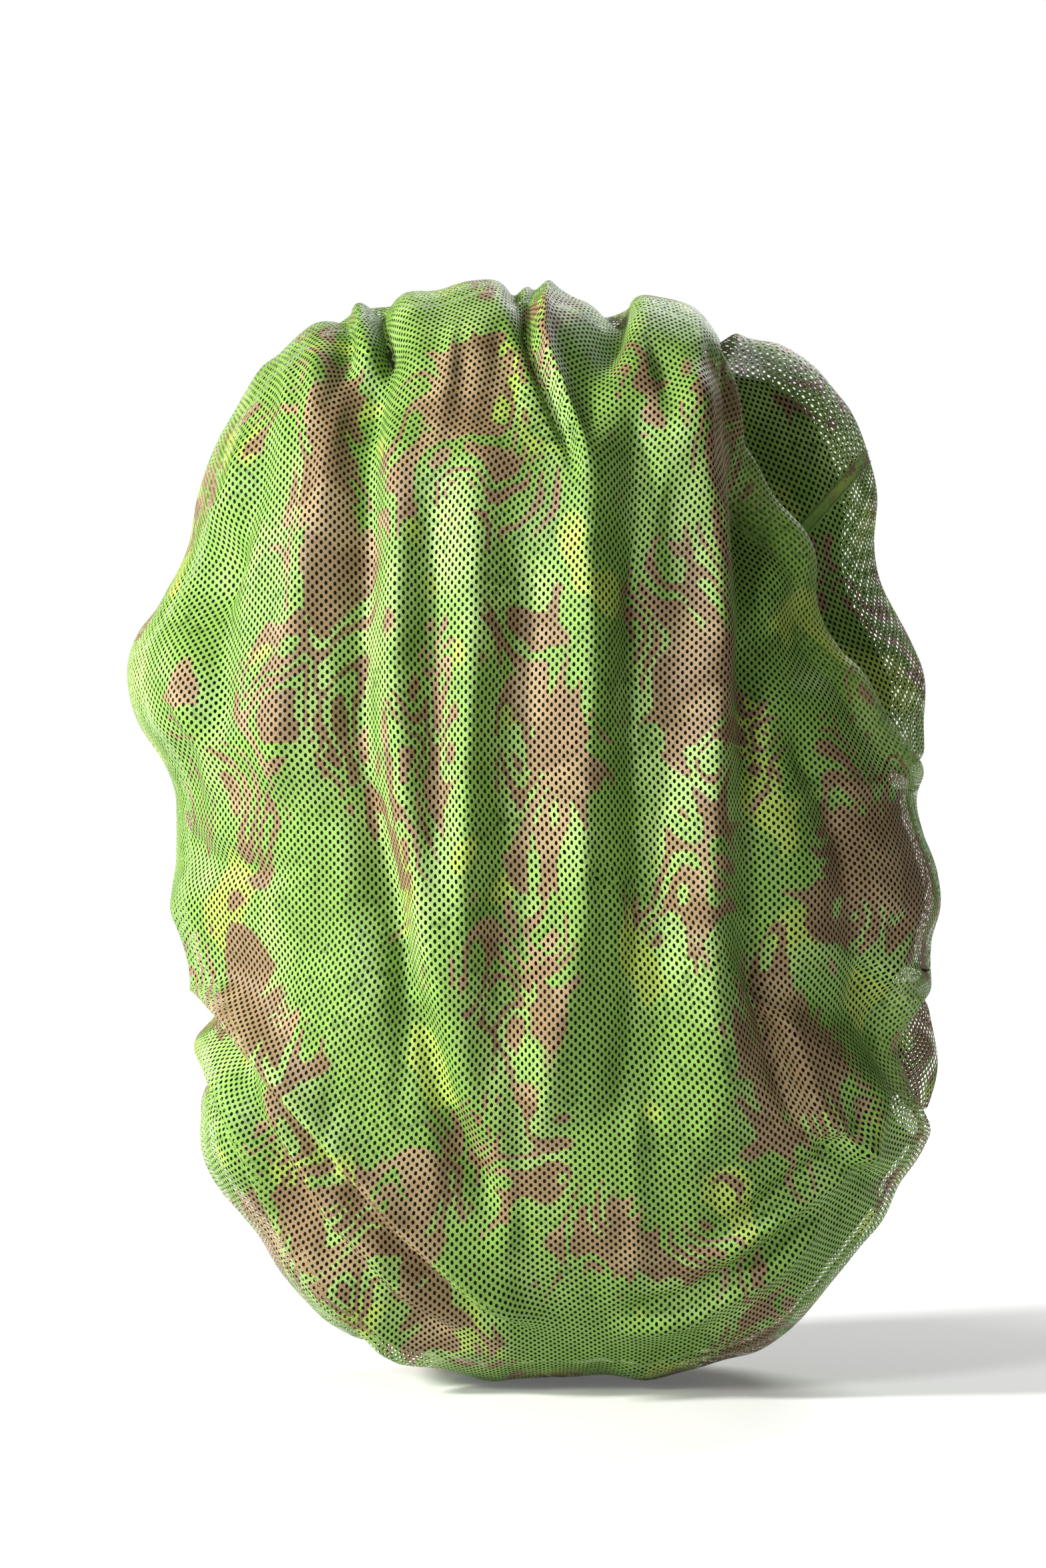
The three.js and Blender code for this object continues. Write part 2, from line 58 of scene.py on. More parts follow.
HALF_WIDTH = 0.276
HALF_HEIGHT = 0.3715
WIDEST_Y = 0.035
FACE_DEPTH = 0.205
BACK_DEPTH = 0.130
HARNESS_Y = 0.165
MOUTH_HALF_WIDTH = 0.136
MOUTH_HALF_HEIGHT = 0.232
FLAT_SHARE = 0.82
FACE_FULLNESS = 0.8
BACK_FULLNESS = 2 / 2.3
FACE_EDGE = 0.34  # station where the face panel ends
GUSSET = 0.54  # station of the taped seam behind the widest section
FLOOR_GAP = 0.0003
TURN_IN_ROOM = 0.016
LOOSE_ONSET = 0.06  # how far the bulge narrows before the cloth beside it hangs fully loose

CASING_HALF_WIDTH = 0.1288
CASING_HALF_HEIGHT = 0.2248
CASING_Y = HARNESS_Y - 0.0035
CASING_RADIUS = (0.0080, 0.0034)  # across the mouth's edge, and out of its plane
RUFFLE_HEIGHT = 0.00022
HEM_STITCH = (0.0048, 0.0026)  # from the casing's middle: across, and out of its plane
EXIT_HALF_GAP = 0.030
CORD_RADIUS = 0.0015
LOCK_Y = 0.1743
LOCK_Z = 0.1107
LOCK_TOP = 0.0095  # from the lock's middle to where the strands leave its top
CORD_END_TOP = 0.0862
CORD_END_DEPTH = 0.0084
STRAND_OFFSET = 0.0022
TAPE_SINK = 0.0012
TAPE_THICKNESS = 0.0009
PATCH_STITCH_INSET = 0.0028
PATCH_STITCH_RISE = 0.0001
UNDER_LOCK_RISE = -0.00025  # sunk, so that the lock slides over the stitches
STRAP_STITCH_INSET = 0.003
STRAP_STITCH_RISE = 0.002

# Radii of the outline every four degrees, from the right side anticlockwise, as shares of the half sizes.
OUTLINE = [
    0.94, 0.926, 0.97, 0.984, 1.002, 0.996, 0.976, 0.966, 0.986, 1.04, 1.07, 1.09, 1.096, 1.09, 1.075,
    1.046, 1.035, 1.02, 1.01, 0.998, 0.97, 0.965, 0.978, 0.994, 1.0, 1.004, 1.004, 1.024, 1.05, 1.062,
    1.062, 1.07, 1.07, 1.06, 1.05, 1.036, 1.018, 0.992, 0.984, 0.998, 1.03, 1.035, 1.0, 0.92, 0.88,
    0.884, 0.88, 0.868, 0.852, 0.836, 0.822, 0.848, 0.896, 0.955, 1.0, 1.008, 1.0, 0.995, 1.01, 1.02,
    1.024, 1.018, 1.008, 1.002, 1.0, 1.004, 1.002, 0.99, 0.988, 0.992, 1.0, 1.025, 1.036, 1.048, 1.064,
    1.084, 1.092, 1.092, 1.088, 1.092, 1.1, 1.09, 1.1, 1.1, 1.088, 1.046, 1.0, 0.982, 0.998, 0.976,
]  # fmt: skip

# Width of the tight bulge inside the loose outline, by direction in degrees.
BULGE = [
    (-180, 1), (-34, 1), (-30, 0.99), (-25.3, 0.86), (-19.1, 0.93), (-15.1, 1), (-12, 1), (2, 1),
    (4.5, 0.995), (9, 0.93), (14.4, 0.86), (21.6, 0.82), (36.6, 0.79), (46.7, 0.75), (54.4, 0.8),
    (63.9, 0.98), (67, 1), (71, 1), (180, 1),
]  # fmt: skip

# Section of the loose part: station, share of the outline, share of the bulge, depth.
LOOSE_SECTION = [
    (0.34, 0.0, 0.9, -0.079),
    (0.45, 0.0, 1.0, -0.050),
    (0.55, -0.06, 1.0, 0.005),
    (0.68, 0.93, 0.0, 0.045),
    (0.75, 1.0, 0.0, 0.075),
    (0.85, 0.97, 0.0, 0.120),
    (1.0, 0.82, 0.0, 0.165),
]

# Directions of the seams between the walls, in degrees: lower right, upper right, upper left, lower left.
WALL_SEAMS = [-39.1, 39.7, 121.5, 213.0]
WALLS = ["right_wall", "top_wall", "left_wall", "bottom_wall"]

# Folds, as (height, width, lean, points): height out of the cloth, half width, share of it that the
# groove beside an overlap takes, and (x, z) points along the crest. Millimetres.
FOLDS = [
    (-20, 14, 0, [(-113, 693), (-108, 613), (-109, 560), (-116, 481), (-110, 402), (-87, 296), (-50, 174),
                  (-23, 105)]),
    (13, 16, 0, [(-97, 650), (-89, 560), (-89, 455), (-81, 375), (-65, 269), (-34, 163)]),
    (13, 21, 0, [(-39, 640), (-39, 613), (-44, 402), (-44, 250)]),
    (-8, 12, 0, [(-65, 600), (-65, 560), (-65, 402), (-62, 340)]),
    (-10, 13, 0, [(-10, 560), (-10, 507), (-18, 402), (-23, 296), (-22, 200)]),
    (13, 18, 0, [(33, 640), (33, 613), (31, 455), (30, 322), (9, 227), (0, 170)]),
    (-15, 13, 0, [(64, 650), (64, 613), (62, 455), (67, 322), (62, 243), (50, 180)]),
    (15, 18, 0, [(104, 680), (104, 635), (117, 507), (112, 402), (109, 296), (115, 216), (118, 150)]),
    (-6, 12, 0, [(88, 690), (88, 666), (88, 560), (90, 480)]),
    (-16, 14, 0, [(133, 620), (133, 560), (136, 402), (138, 296), (154, 227), (168, 179)]),
    (12, 11, 0.9, [(150, 275), (160, 243), (178, 195), (210, 163), (247, 147)]),
    (11, 15, 0, [(-142, 698), (-139, 613), (-145, 534), (-161, 455), (-168, 380)]),
    (-8, 11, 0, [(-126, 677), (-124, 640), (-124, 587)]),
    (-14, 15, 0, [(-205, 580), (-211, 529), (-208, 455), (-219, 402)]),
    (-10, 12, 0, [(-245, 384), (-219, 354), (-182, 343), (-140, 350)]),
    (-12, 14, 0, [(165, 460), (173, 423), (199, 370), (210, 296), (220, 227)]),
    (17, 11, 1.1, [(-240, 350), (-208, 280), (-177, 232), (-134, 179), (-87, 121), (-34, 73), (10, 50)]),
    (14, 10, 1.0, [(-232, 255), (-222, 243), (-187, 174), (-161, 116), (-124, 63), (-87, 31), (-50, 15)]),
    (11, 10, 0.8, [(-215, 290), (-203, 269), (-166, 190), (-129, 126), (-81, 73), (-40, 45)]),
    (11, 6, 1.8, [(9, 748), (3, 719), (2, 698), (6, 677), (14, 656), (25, 625), (34, 590)]),
    (-24, 10, 0, [(-112, 790), (-104, 719), (-97, 690), (-96, 650)]),
    (-15, 8, 0, [(-142, 780), (-129, 690), (-124, 650)]),
    (-22, 9, 0, [(46, 790), (52, 719), (46, 690), (42, 655)]),
    (-20, 11, 0, [(100, 780), (128, 715), (150, 680), (160, 640)]),
    (-13, 7, 0, [(-18, 790), (-14, 735), (-8, 705), (-10, 680)]),
    (7, 10, 0, [(-188, 640), (-196, 600), (-228, 540), (-258, 490)]),
    (-7, 8, 0, [(-176, 640), (-182, 590), (-205, 540), (-228, 500)]),
    (7, 10, 0.8, [(-240, 470), (-215, 420), (-205, 380)]),
    (6, 9, 0.8, [(255, 330), (225, 270), (195, 230)]),
    (12, 10, 0.9, [(190, 130), (150, 90), (100, 60), (40, 45)]),
    (13, 10, 0.9, [(230, 200), (190, 150), (140, 115), (90, 90)]),
]

FOLD_START = (-0.004, 0.035)  # a fold rises over this stretch from its first point
FOLD_END = (-0.004, 0.05)

# Broad brown zones of the print over the face, as (x, z, half width, half height) in millimetres.
BROWN_ZONES = [
    (-127, 602, 26, 100), (-46, 665, 58, 55), (2, 362, 36, 185), (130, 613, 30, 90), (-178, 418, 36, 90),
    (148, 189, 42, 115), (-73, 144, 68, 62), (208, 347, 54, 105), (-222, 590, 22, 55), (60, 110, 60, 30),
]  # fmt: skip

FACE_CELLS = 168
SECTION_STEPS = 400
WALL_ROWS = 30
TURN_IN_ROWS = 14
SLACK_WAVE = 0.00012
PLEAT_SINK = 0.0034
PLEAT_HEIGHT = 0.0011
TILE_CORNERS = 20  # five quads
MERGE_DISTANCE = 0.00004
WALL_CUT = 0.42  # length taken for a wall's strip when its size is worked out
WALL_FULL = 0.31  # metres of that length that are cloth, once its curved outline and holes are out
LEAST_SHARE = 0.31  # least share of its flat rectangle that a sheet's area is clamped to


def closed_curve(turn, values):
    """Smooth closed curve through evenly spaced values, read at angles in radians."""
    values = np.asarray(values)
    place = (np.asarray(turn) / (2 * np.pi) % 1.0) * len(values)
    i = np.floor(place).astype(int)
    t = place - i
    p0, p1, p2, p3 = (values[(i + k) % len(values)] for k in (-1, 0, 1, 2))
    bend = t * (2 * p0 - 5 * p1 + 4 * p2 - p3 + t * (3 * (p1 - p2) + p3 - p0))
    return p1 + 0.5 * t * (p2 - p0 + bend)


def open_curve(x, knots, column=1):
    """Smooth curve through knots, whose first column is the place and another the value."""
    knots = np.array(knots, float)
    place, value = knots[:, 0], knots[:, column]
    slope = np.gradient(value, place)
    i = np.clip(np.searchsorted(place, x) - 1, 0, len(place) - 2)
    step = place[i + 1] - place[i]
    t = np.clip((x - place[i]) / step, 0, 1)
    start = (1 - t) ** 2 * ((1 + 2 * t) * value[i] + t * step * slope[i])
    end = t**2 * ((3 - 2 * t) * value[i + 1] - (1 - t) * step * slope[i + 1])
    return start + end


def smooth(x, low=0.0, high=1.0):
    t = np.clip((x - low) / (high - low), 0, 1)
    return t * t * (3 - 2 * t)


def filled_shape(turn, station, tight=False):
    """Points of the filled cover. A tight one has no loose cloth at its right side."""
    degrees = np.degrees(np.arctan2(np.sin(turn), np.cos(turn)))
    reach = closed_curve(turn, OUTLINE)
    bulge = np.minimum(open_curve(degrees, BULGE), 1)
    section = np.clip(station, 0, 1) * np.pi
    sine, cosine = np.sin(section), np.abs(np.cos(section))
    front = station <= 0.5
    back_share = FLAT_SHARE + (1 - FLAT_SHARE) * sine**BACK_FULLNESS
    share = np.where(front, sine**FACE_FULLNESS, back_share)
    face_y = WIDEST_Y - FACE_DEPTH * cosine**FACE_FULLNESS
    y = np.where(front, face_y, WIDEST_Y + BACK_DEPTH * cosine**BACK_FULLNESS)
    if tight:
        hollow, behind = 0.1, 0.99  # room under the fold beside the bulge, and width behind it
        inner = bulge - hollow * smooth(1 - bulge, 0, LOOSE_ONSET) * smooth(station, 0.22, 0.38)
        wide = inner + np.maximum(behind - inner, 0) * smooth(station, 0.53, 0.66)
        share = share * wide
    else:
        loose = smooth(1 - bulge, 0, LOOSE_ONSET)
        late = station > LOOSE_SECTION[0][0]
        of_outline = open_curve(station, LOOSE_SECTION, 1)
        of_bulge = open_curve(station, LOOSE_SECTION, 2)
        loose_share = np.where(late, of_outline + of_bulge * bulge, share * bulge)
        loose_y = np.where(late, open_curve(station, LOOSE_SECTION, 3), y)
        share = share + loose * (loose_share - share)
        y = y + loose * (loose_y - y)
    x = HALF_WIDTH * reach * share * np.cos(turn)
    z = HALF_HEIGHT * reach * share * np.sin(turn)
    inwards = np.clip(station - 1, 0, 1)
    if tight:
        x, z, y = x * (1 - inwards), z * (1 - inwards), np.minimum(y, HARNESS_Y - TURN_IN_ROOM)
    else:
        mouth = np.arctan2(z / MOUTH_HALF_HEIGHT, x / MOUTH_HALF_WIDTH)
        x = x + inwards * (MOUTH_HALF_WIDTH * np.cos(mouth) - x)
        z = z + inwards * (MOUTH_HALF_HEIGHT * np.sin(mouth) - z)
    return np.stack([x, y, z + HALF_HEIGHT], -1)


def normals_of(points, quads):
    """Vertex normals of a quad mesh, weighted by area."""
    a, b, c, d = (points[quads[:, k]] for k in range(4))
    face = np.cross(c - a, d - b)
    normals = np.zeros_like(points)
    for k in range(4):
        np.add.at(normals, quads[:, k], face)
    return normals / np.maximum(np.linalg.norm(normals, axis=1, keepdims=True), 1e-12)


def fold_height(x, z, folds):
    """Height of all folds over points of the face, in metres."""
    total = np.zeros_like(x)
    for height, width, lean, line in folds:
        line = np.array(line, float) / 1000
        width = width / 1000
        steps = np.diff(line, axis=0)
        lengths = np.linalg.norm(steps, axis=1)
        ends = np.r_[0, np.cumsum(lengths)]
        best = np.full(x.shape, 9.0)
        side = np.zeros_like(x)
        along = np.zeros_like(x)
        for k, step in enumerate(steps):
            rx, rz = x - line[k, 0], z - line[k, 1]
            t = np.clip((rx * step[0] + rz * step[1]) / lengths[k] ** 2, 0, 1)
            dx, dz = rx - t * step[0], rz - t * step[1]
            distance = np.hypot(dx, dz)
            near = distance < best
            best = np.where(near, distance, best)
            side = np.where(near, np.sign(step[0] * dz - step[1] * dx), side)
            along = np.where(near, ends[k] + t * lengths[k], along)
        taper = smooth(along, *FOLD_START) * smooth(ends[-1] - along, *FOLD_END)
        profile = np.exp(-((best / width) ** 1.6))
        if lean:
            groove = np.exp(-(((best - 0.9 * width) / (0.7 * width)) ** 2))
            profile = np.where(side > 0, profile, profile - lean * groove * smooth(best, 0, width))
        total += height / 1000 * taper * profile
    return total


def fine_folds(rng):
    """Small creases: gathers that run down from the top, and slack ones across the sides."""
    folds = []
    for _ in range(46):
        x = rng.uniform(-190, 200)
        length = rng.uniform(40, 170)
        drift = rng.uniform(-0.16, 0.16) + x / 1500
        top = rng.uniform(690, 735)
        line = [(x + drift * d + 3 * np.sin(d / 23), top - d) for d in np.linspace(0, length, 5)]
        folds.append((rng.uniform(-6, 4), rng.uniform(3.5, 7.5), 0, line))
    for _ in range(40):
        side = rng.choice([-1, 1])
        x, z = side * rng.uniform(120, 245), rng.uniform(110, 560)
        length = rng.uniform(30, 95)
        angle = np.radians(rng.uniform(35, 75))
        dx, dz = -side * np.cos(angle) * length, -np.sin(angle) * length
        bow = rng.uniform(-8, 8)
        line = [(x, z), (x + dx / 2 + bow, z + dz / 2), (x + dx, z + dz)]
        folds.append((rng.uniform(-3.5, 3.5), rng.uniform(4, 9), rng.choice([0, 0.5]), line))
    for _ in range(38):
        x, z = rng.uniform(-150, 150), rng.uniform(150, 600)
        length = rng.uniform(80, 260)
        lean = rng.uniform(-12, 12)
        line = [(x, z), (x + lean * 0.7, z - length / 2), (x + lean, z - length)]
        folds.append((rng.uniform(-4, 3.5), rng.uniform(5, 9), 0, line))
    return folds


class Shell:
    """The whole cover as one quad mesh, with its folds, before it is cut into panels."""

    def __init__(self, fold_depth, seed):
        n = FACE_CELLS
        a, b = np.meshgrid(np.linspace(-1, 1, n + 1), np.linspace(-1, 1, n + 1), indexing="ij")
        disc_x, disc_z = a * np.sqrt(1 - b * b / 2), b * np.sqrt(1 - a * a / 2)
        share = np.hypot(disc_x, disc_z).ravel()
        turn = np.arctan2(disc_z, disc_x).ravel()
        stations = np.linspace(0, GUSSET, SECTION_STEPS)
        section = filled_shape(np.full(SECTION_STEPS, np.pi / 4), stations, True)
        length = np.r_[0, np.cumsum(np.linalg.norm(np.diff(section, axis=0), axis=1))]
        station = np.interp(share, length / length[-1], stations)
        grid = np.arange((n + 1) ** 2).reshape(n + 1, n + 1)
        quads = np.stack([grid[:-1, :-1], grid[1:, :-1], grid[1:, 1:], grid[:-1, 1:]], -1).reshape(-1, 4)
        rim = np.r_[grid[-1, :-1], grid[:0:-1, -1], grid[0, :0:-1], grid[:-1, 0]]
        rows = np.r_[
            np.linspace(GUSSET, 1, WALL_ROWS + 1)[1:], np.linspace(1, 2, TURN_IN_ROWS + 1)[1:]
        ]
        ring = [rim] + [(n + 1) ** 2 + r * len(rim) + np.arange(len(rim)) for r in range(len(rows))]
        self.ring = np.array(ring)
        here, back = self.ring[:-1], self.ring[1:]
        ring_quads = np.stack([here, back, np.roll(back, -1, 1), np.roll(here, -1, 1)], -1)
        self.face_quads = quads
        self.ring_quads = ring_quads
        self.quads = np.concatenate([quads, ring_quads.reshape(-1, 4)])
        self.turn = np.r_[turn, np.tile(turn[rim], len(rows))]
        self.station = np.r_[station, np.repeat(rows, len(rim))]
        self.points = filled_shape(self.turn, self.station)
        self.fold(fold_depth, seed)

    def fold(self, depth, seed):
        rng = np.random.default_rng(seed)
        normals = normals_of(self.points, self.quads)
        x, z = self.points[:, 0], self.points[:, 2]
        front = smooth(-self.station, -0.62, -0.5)
        height = fold_height(x, z, FOLDS) + fold_height(x, z, fine_folds(rng))
        waves = np.zeros_like(x)
        for _ in range(60):
            direction = rng.normal(size=3)
            length = rng.uniform(0.025, 0.09) * np.linalg.norm(direction) * np.array([1, 1, 2.2])
            direction *= 2 * np.pi / length
            waves += np.cos(self.points @ direction + rng.uniform(0, 2 * np.pi))
        height = height * front + SLACK_WAVE * waves
        pleats = np.zeros_like(x)
        for count in (31, 47, 58, 73):
            sway = rng.uniform(0, 2 * np.pi)
            pleats += np.cos(count * self.turn + sway + 2.2 * np.sin(3 * self.turn + sway))
        gathered = smooth(self.station, 0.62, 1.6)
        height = height - (PLEAT_SINK - PLEAT_HEIGHT * pleats) * gathered * (self.station < 2)
        self.points = self.points + depth * height[:, None] * normals
        self.points[:, 2] = np.maximum(self.points[:, 2], FLOOR_GAP)
        self.normals = normals_of(self.points, self.quads)


# --- Mesh helpers -----------------------------------------------------------------------------


def new_object(name, points, faces):
    mesh = bpy.data.meshes.new(name)
    if isinstance(faces, np.ndarray):
        mesh.vertices.add(len(points))
        mesh.vertices.foreach_set("co", np.asarray(points, np.float32).ravel())
        mesh.loops.add(faces.size)
        mesh.loops.foreach_set("vertex_index", faces.astype(np.int32).ravel())
        mesh.polygons.add(len(faces))
        starts = np.arange(0, faces.size, faces.shape[1], dtype=np.int32)
        mesh.polygons.foreach_set("loop_start", starts)
        mesh.update(calc_edges=True)
    else:
        mesh.from_pydata(points, [], faces)
    mesh.polygons.foreach_set("use_smooth", np.ones(len(mesh.polygons), bool))
    mesh.validate()
    obj = bpy.data.objects.new(name, mesh)
    bpy.context.scene.collection.objects.link(obj)
    return obj


def point_attribute(mesh, name, kind, values):
    attribute = mesh.attributes.get(name) or mesh.attributes.new(name, kind, "POINT")
    key = {"FLOAT": "value", "FLOAT_VECTOR": "vector"}[kind]
    attribute.data.foreach_set(key, np.asarray(values, np.float32).ravel())


def set_uv(mesh, name, per_vertex):
    layer = mesh.uv_layers.get(name) or mesh.uv_layers.new(name=name)
    corners = np.empty(len(mesh.loops), np.int32)
    mesh.loops.foreach_get("vertex_index", corners)
    layer.data.foreach_set("uv", np.asarray(per_vertex, np.float32)[corners].ravel())


def applied(obj):
    """The object's mesh with its modifiers worked in, as a plain mesh."""
    graph = bpy.context.evaluated_depsgraph_get()
    mesh = bpy.data.meshes.new_from_object(obj.evaluated_get(graph), depsgraph=graph)
    obj.modifiers.clear()
    old = obj.data
    obj.data = mesh
    if old.users == 0:
        bpy.data.meshes.remove(old)
    return obj


def drop(obj):
    mesh = obj.data
    bpy.data.objects.remove(obj)
    if mesh.users == 0:
        bpy.data.meshes.remove(mesh)


def finish_piece(obj, material, body, nodes=()):
    obj.data.materials.clear()
    obj.data.materials.append(material)
    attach(obj, body)
    if nodes:
        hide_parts(*nodes)
    return obj


# --- Node helpers -----------------------------------------------------------------------------


def put(tree, kind, *inputs, **settings):
    """Adds a node, sets its attributes, and fills its inputs in order with numbers, links or None."""
    node = tree.nodes.new(kind)
    for name, value in settings.items():
        setattr(node, name, value)
    fill(tree, node, dict(enumerate(inputs)))
    return node


def fill(tree, node, inputs):
    for key, value in inputs.items():
        if value is None:
            continue
        socket = node.inputs[key]
        if isinstance(value, bpy.types.Node):
            value = next(s for s in value.outputs if s.enabled)
        if isinstance(value, bpy.types.NodeSocket):
            tree.links.new(value, socket)
        else:
            socket.default_value = value
    return node


def maths(tree, operation, a, b=None, c=None):
    return put(tree, "ShaderNodeMath", a, b, c, operation=operation).outputs[0]


def blend_colour(tree, share, first, second, mode="MIX"):
    node = tree.nodes.new("ShaderNodeMix")
    node.data_type = "RGBA"
    node.blend_type = mode
    rgba = [v if isinstance(v, bpy.types.NodeSocket) else (*v[:3], 1) for v in (first, second)]
    fill(tree, node, {0: share, 6: rgba[0], 7: rgba[1]})
    return node.outputs[2]


def new_material(name, roughness, **sockets):
    material = bpy.data.materials.new(name)
    material.use_nodes = True
    tree = material.node_tree
    shader = tree.nodes["Principled BSDF"]
    fill(tree, shader, {"Roughness": roughness, **sockets})
    return material, tree, shader


def speckle(tree, vector, scale, detail=2.0, roughness=0.5, distortion=0.0):
    node = put(tree, "ShaderNodeTexNoise")
    settings = {"Vector": vector, "Scale": scale, "Detail": detail, "Roughness": roughness}
    fill(tree, node, {**settings, "Distortion": distortion})
    return node.outputs[0]


def own_place(tree):
    """The piece's own coordinates, in metres."""
    return put(tree, "ShaderNodeTexCoord").outputs["Object"]


def raised(tree, shader, height, distance, strength):
    """Bumps the surface by height, where a height of one stands for distance."""
    bump = put(tree, "ShaderNodeBump")
    fill(tree, bump, {"Strength": strength, "Distance": distance, "Height": height})
    tree.links.new(bump.outputs[0], shader.inputs["Normal"])


def above(tree, value, level, soft=0.012):
    """One where value is above level, with a short ramp."""
    node = put(tree, "ShaderNodeMapRange", value, level - soft, level + soft, clamp=True)
    return node.outputs[0]


# --- Materials --------------------------------------------------------------------------------


def camouflage(cloth):
    """Printed camouflage on fine knit. It reads the flat cut in metres, stepped like the print."""
    material, tree, shader = new_material("camouflage_knit", 0.5, Metallic=0.0)
    fill(tree, shader, {"Specular IOR Level": 0.45, "Sheen Weight": 0.08, "Sheen Roughness": 0.35})
    fill(tree, shader, {"Sheen Tint": (0.86, 1.0, 0.7, 1)})
    flat = put(tree, "ShaderNodeUVMap", uv_map="cut").outputs[0]
    step = (cloth.hole_pitch / 2, cloth.hole_row, 1.0)
    stepped = put(tree, "ShaderNodeVectorMath", flat, step, operation="SNAP").outputs[0]
    tall = put(tree, "ShaderNodeMapping", stepped, None, None, (1.35, 0.8, 1.0)).outputs[0]
    zone = put(tree, "ShaderNodeAttribute", attribute_name="zone").outputs["Fac"]
    patches = speckle(tree, tall, 8.0, 1.0, 0.5, 0.35)
    islands = speckle(tree, stepped, 27.0, 0.0, 0.4, 0.8)
    fingers = speckle(tree, tall, 16.0, 0.0, 0.4, 1.2)
    stripes = maths(tree, "SINE", maths(tree, "MULTIPLY", fingers, 34.0))
    ragged = maths(tree, "MULTIPLY_ADD", islands, 0.24, patches)
    ragged = maths(tree, "ADD", ragged, zone)
    level, sharpness = 0.668, 11.0
    ragged = maths(tree, "MULTIPLY_ADD", ragged, sharpness, -level * sharpness)
    brown = above(tree, maths(tree, "ADD", ragged, stripes), 0.0, 0.1)
    light_share = above(tree, speckle(tree, tall, 9.0, 2.0, 0.55, 0.3), 0.53, 0.06)
    green = blend_colour(tree, light_share, cloth.green, cloth.light_green)
    lines = maths(tree, "COMPARE", speckle(tree, stepped, 34.0, 1.5, 0.5, 1.8), 0.5, 0.02)
    lines = maths(tree, "MULTIPLY", lines, above(tree, speckle(tree, stepped, 12.0), 0.52, 0.05))
    green = blend_colour(tree, maths(tree, "MULTIPLY", lines, 0.55), green, cloth.dark_green)
    lime = maths(tree, "MULTIPLY_ADD", islands, 0.25, speckle(tree, tall, 13.0, 1.0))
    lime = above(tree, lime, 0.752)
    green = blend_colour(tree, lime, green, cloth.lime)
    sandy = above(tree, speckle(tree, stepped, 20.0, 2.0), 0.56, 0.03)
    earth = blend_colour(tree, sandy, cloth.brown, cloth.tan)
    colour = blend_colour(tree, brown, green, earth)
    fade = speckle(tree, flat, 60.0, 3.0, 0.6)
    fade = put(tree, "ShaderNodeMapRange", fade, 0.3, 0.7, 0.84, 1.12).outputs[0]
    fade = put(tree, "ShaderNodeCombineColor", fade, fade, fade).outputs[0]
    colour = blend_colour(tree, 1.0, colour, fade, "MULTIPLY")
    tree.links.new(colour, shader.inputs["Base Color"])
    ribs = put(tree, "ShaderNodeTexWave", flat, 900.0, 0.6, bands_direction="X").outputs[1]
    raised(tree, shader, ribs, 0.00012, 0.6)
    return material


WAVE_TURN = 0.314  # wave texture scale times length, for one wave in that length


def woven(name, colour, rib, roughness=0.75):
    """Ribbed webbing or tape that reads metres along and across its own strip."""
    material, tree, shader = new_material(name, roughness)
    fill(tree, shader, {"Sheen Weight": 0.2, "Sheen Roughness": 0.4})
    flat = put(tree, "ShaderNodeUVMap", uv_map="weave").outputs[0]
    scale = WAVE_TURN / rib
    ribs = put(tree, "ShaderNodeTexWave", flat, scale, 1.5, bands_direction="X").outputs[1]
    picks = put(tree, "ShaderNodeTexWave", flat, scale / 0.7, 2.0, bands_direction="Y").outputs[1]
    height = maths(tree, "MULTIPLY", ribs, picks)
    dust = speckle(tree, flat, 90.0, 3.0, 0.6)
    # The hollows of the weave, where ribs and picks dip, are painted darker, down to 0.55 of the colour:
    # painted shade. The lighter flecks from the dust noise are wear.
    dark = tuple(c * 0.55 for c in colour[:3])
    tone = put(tree, "ShaderNodeMapRange", height, 0.0, 0.8, 0.35, 1.0).outputs[0]
    shade = blend_colour(tree, tone, dark, colour)
    worn = tuple(min(1, c * 1.35 + 0.02) for c in colour[:3])
    shade = blend_colour(tree, maths(tree, "MULTIPLY", above(tree, dust, 0.6, 0.1), 0.35), shade, worn)
    tree.links.new(shade, shader.inputs["Base Color"])
    raised(tree, shader, height, rib * 0.3, 0.8)
    return material


def moulded(name, colour):
    """Moulded plastic: fine spark-eroded grain, with soft clouds that are lighter and rougher."""
    material, tree, shader = new_material(name, 0.45)
    fill(tree, shader, {"Specular IOR Level": 0.5})
    place = own_place(tree)
    grain = speckle(tree, place, 2600.0, 3.0, 0.6)
    cloud = speckle(tree, place, 70.0, 3.0, 0.55)
    rough = put(tree, "ShaderNodeMapRange", cloud, 0.3, 0.7, 0.38, 0.56).outputs[0]
    tree.links.new(rough, shader.inputs["Roughness"])
    light = tuple(min(1, c * 1.4 + 0.01) for c in colour[:3])
    tree.links.new(blend_colour(tree, cloud, colour, light), shader.inputs["Base Color"])
    raised(tree, shader, grain, 0.00012, 0.5)
    return material


def drawn_steel():
    material, tree, shader = new_material("drawn_steel", 0.28, Metallic=1.0)
    place = own_place(tree)
    tone = blend_colour(tree, speckle(tree, place, 500.0, 2.0), (0.42, 0.43, 0.45), (0.62, 0.63, 0.65))
    tree.links.new(tone, shader.inputs["Base Color"])
    return material


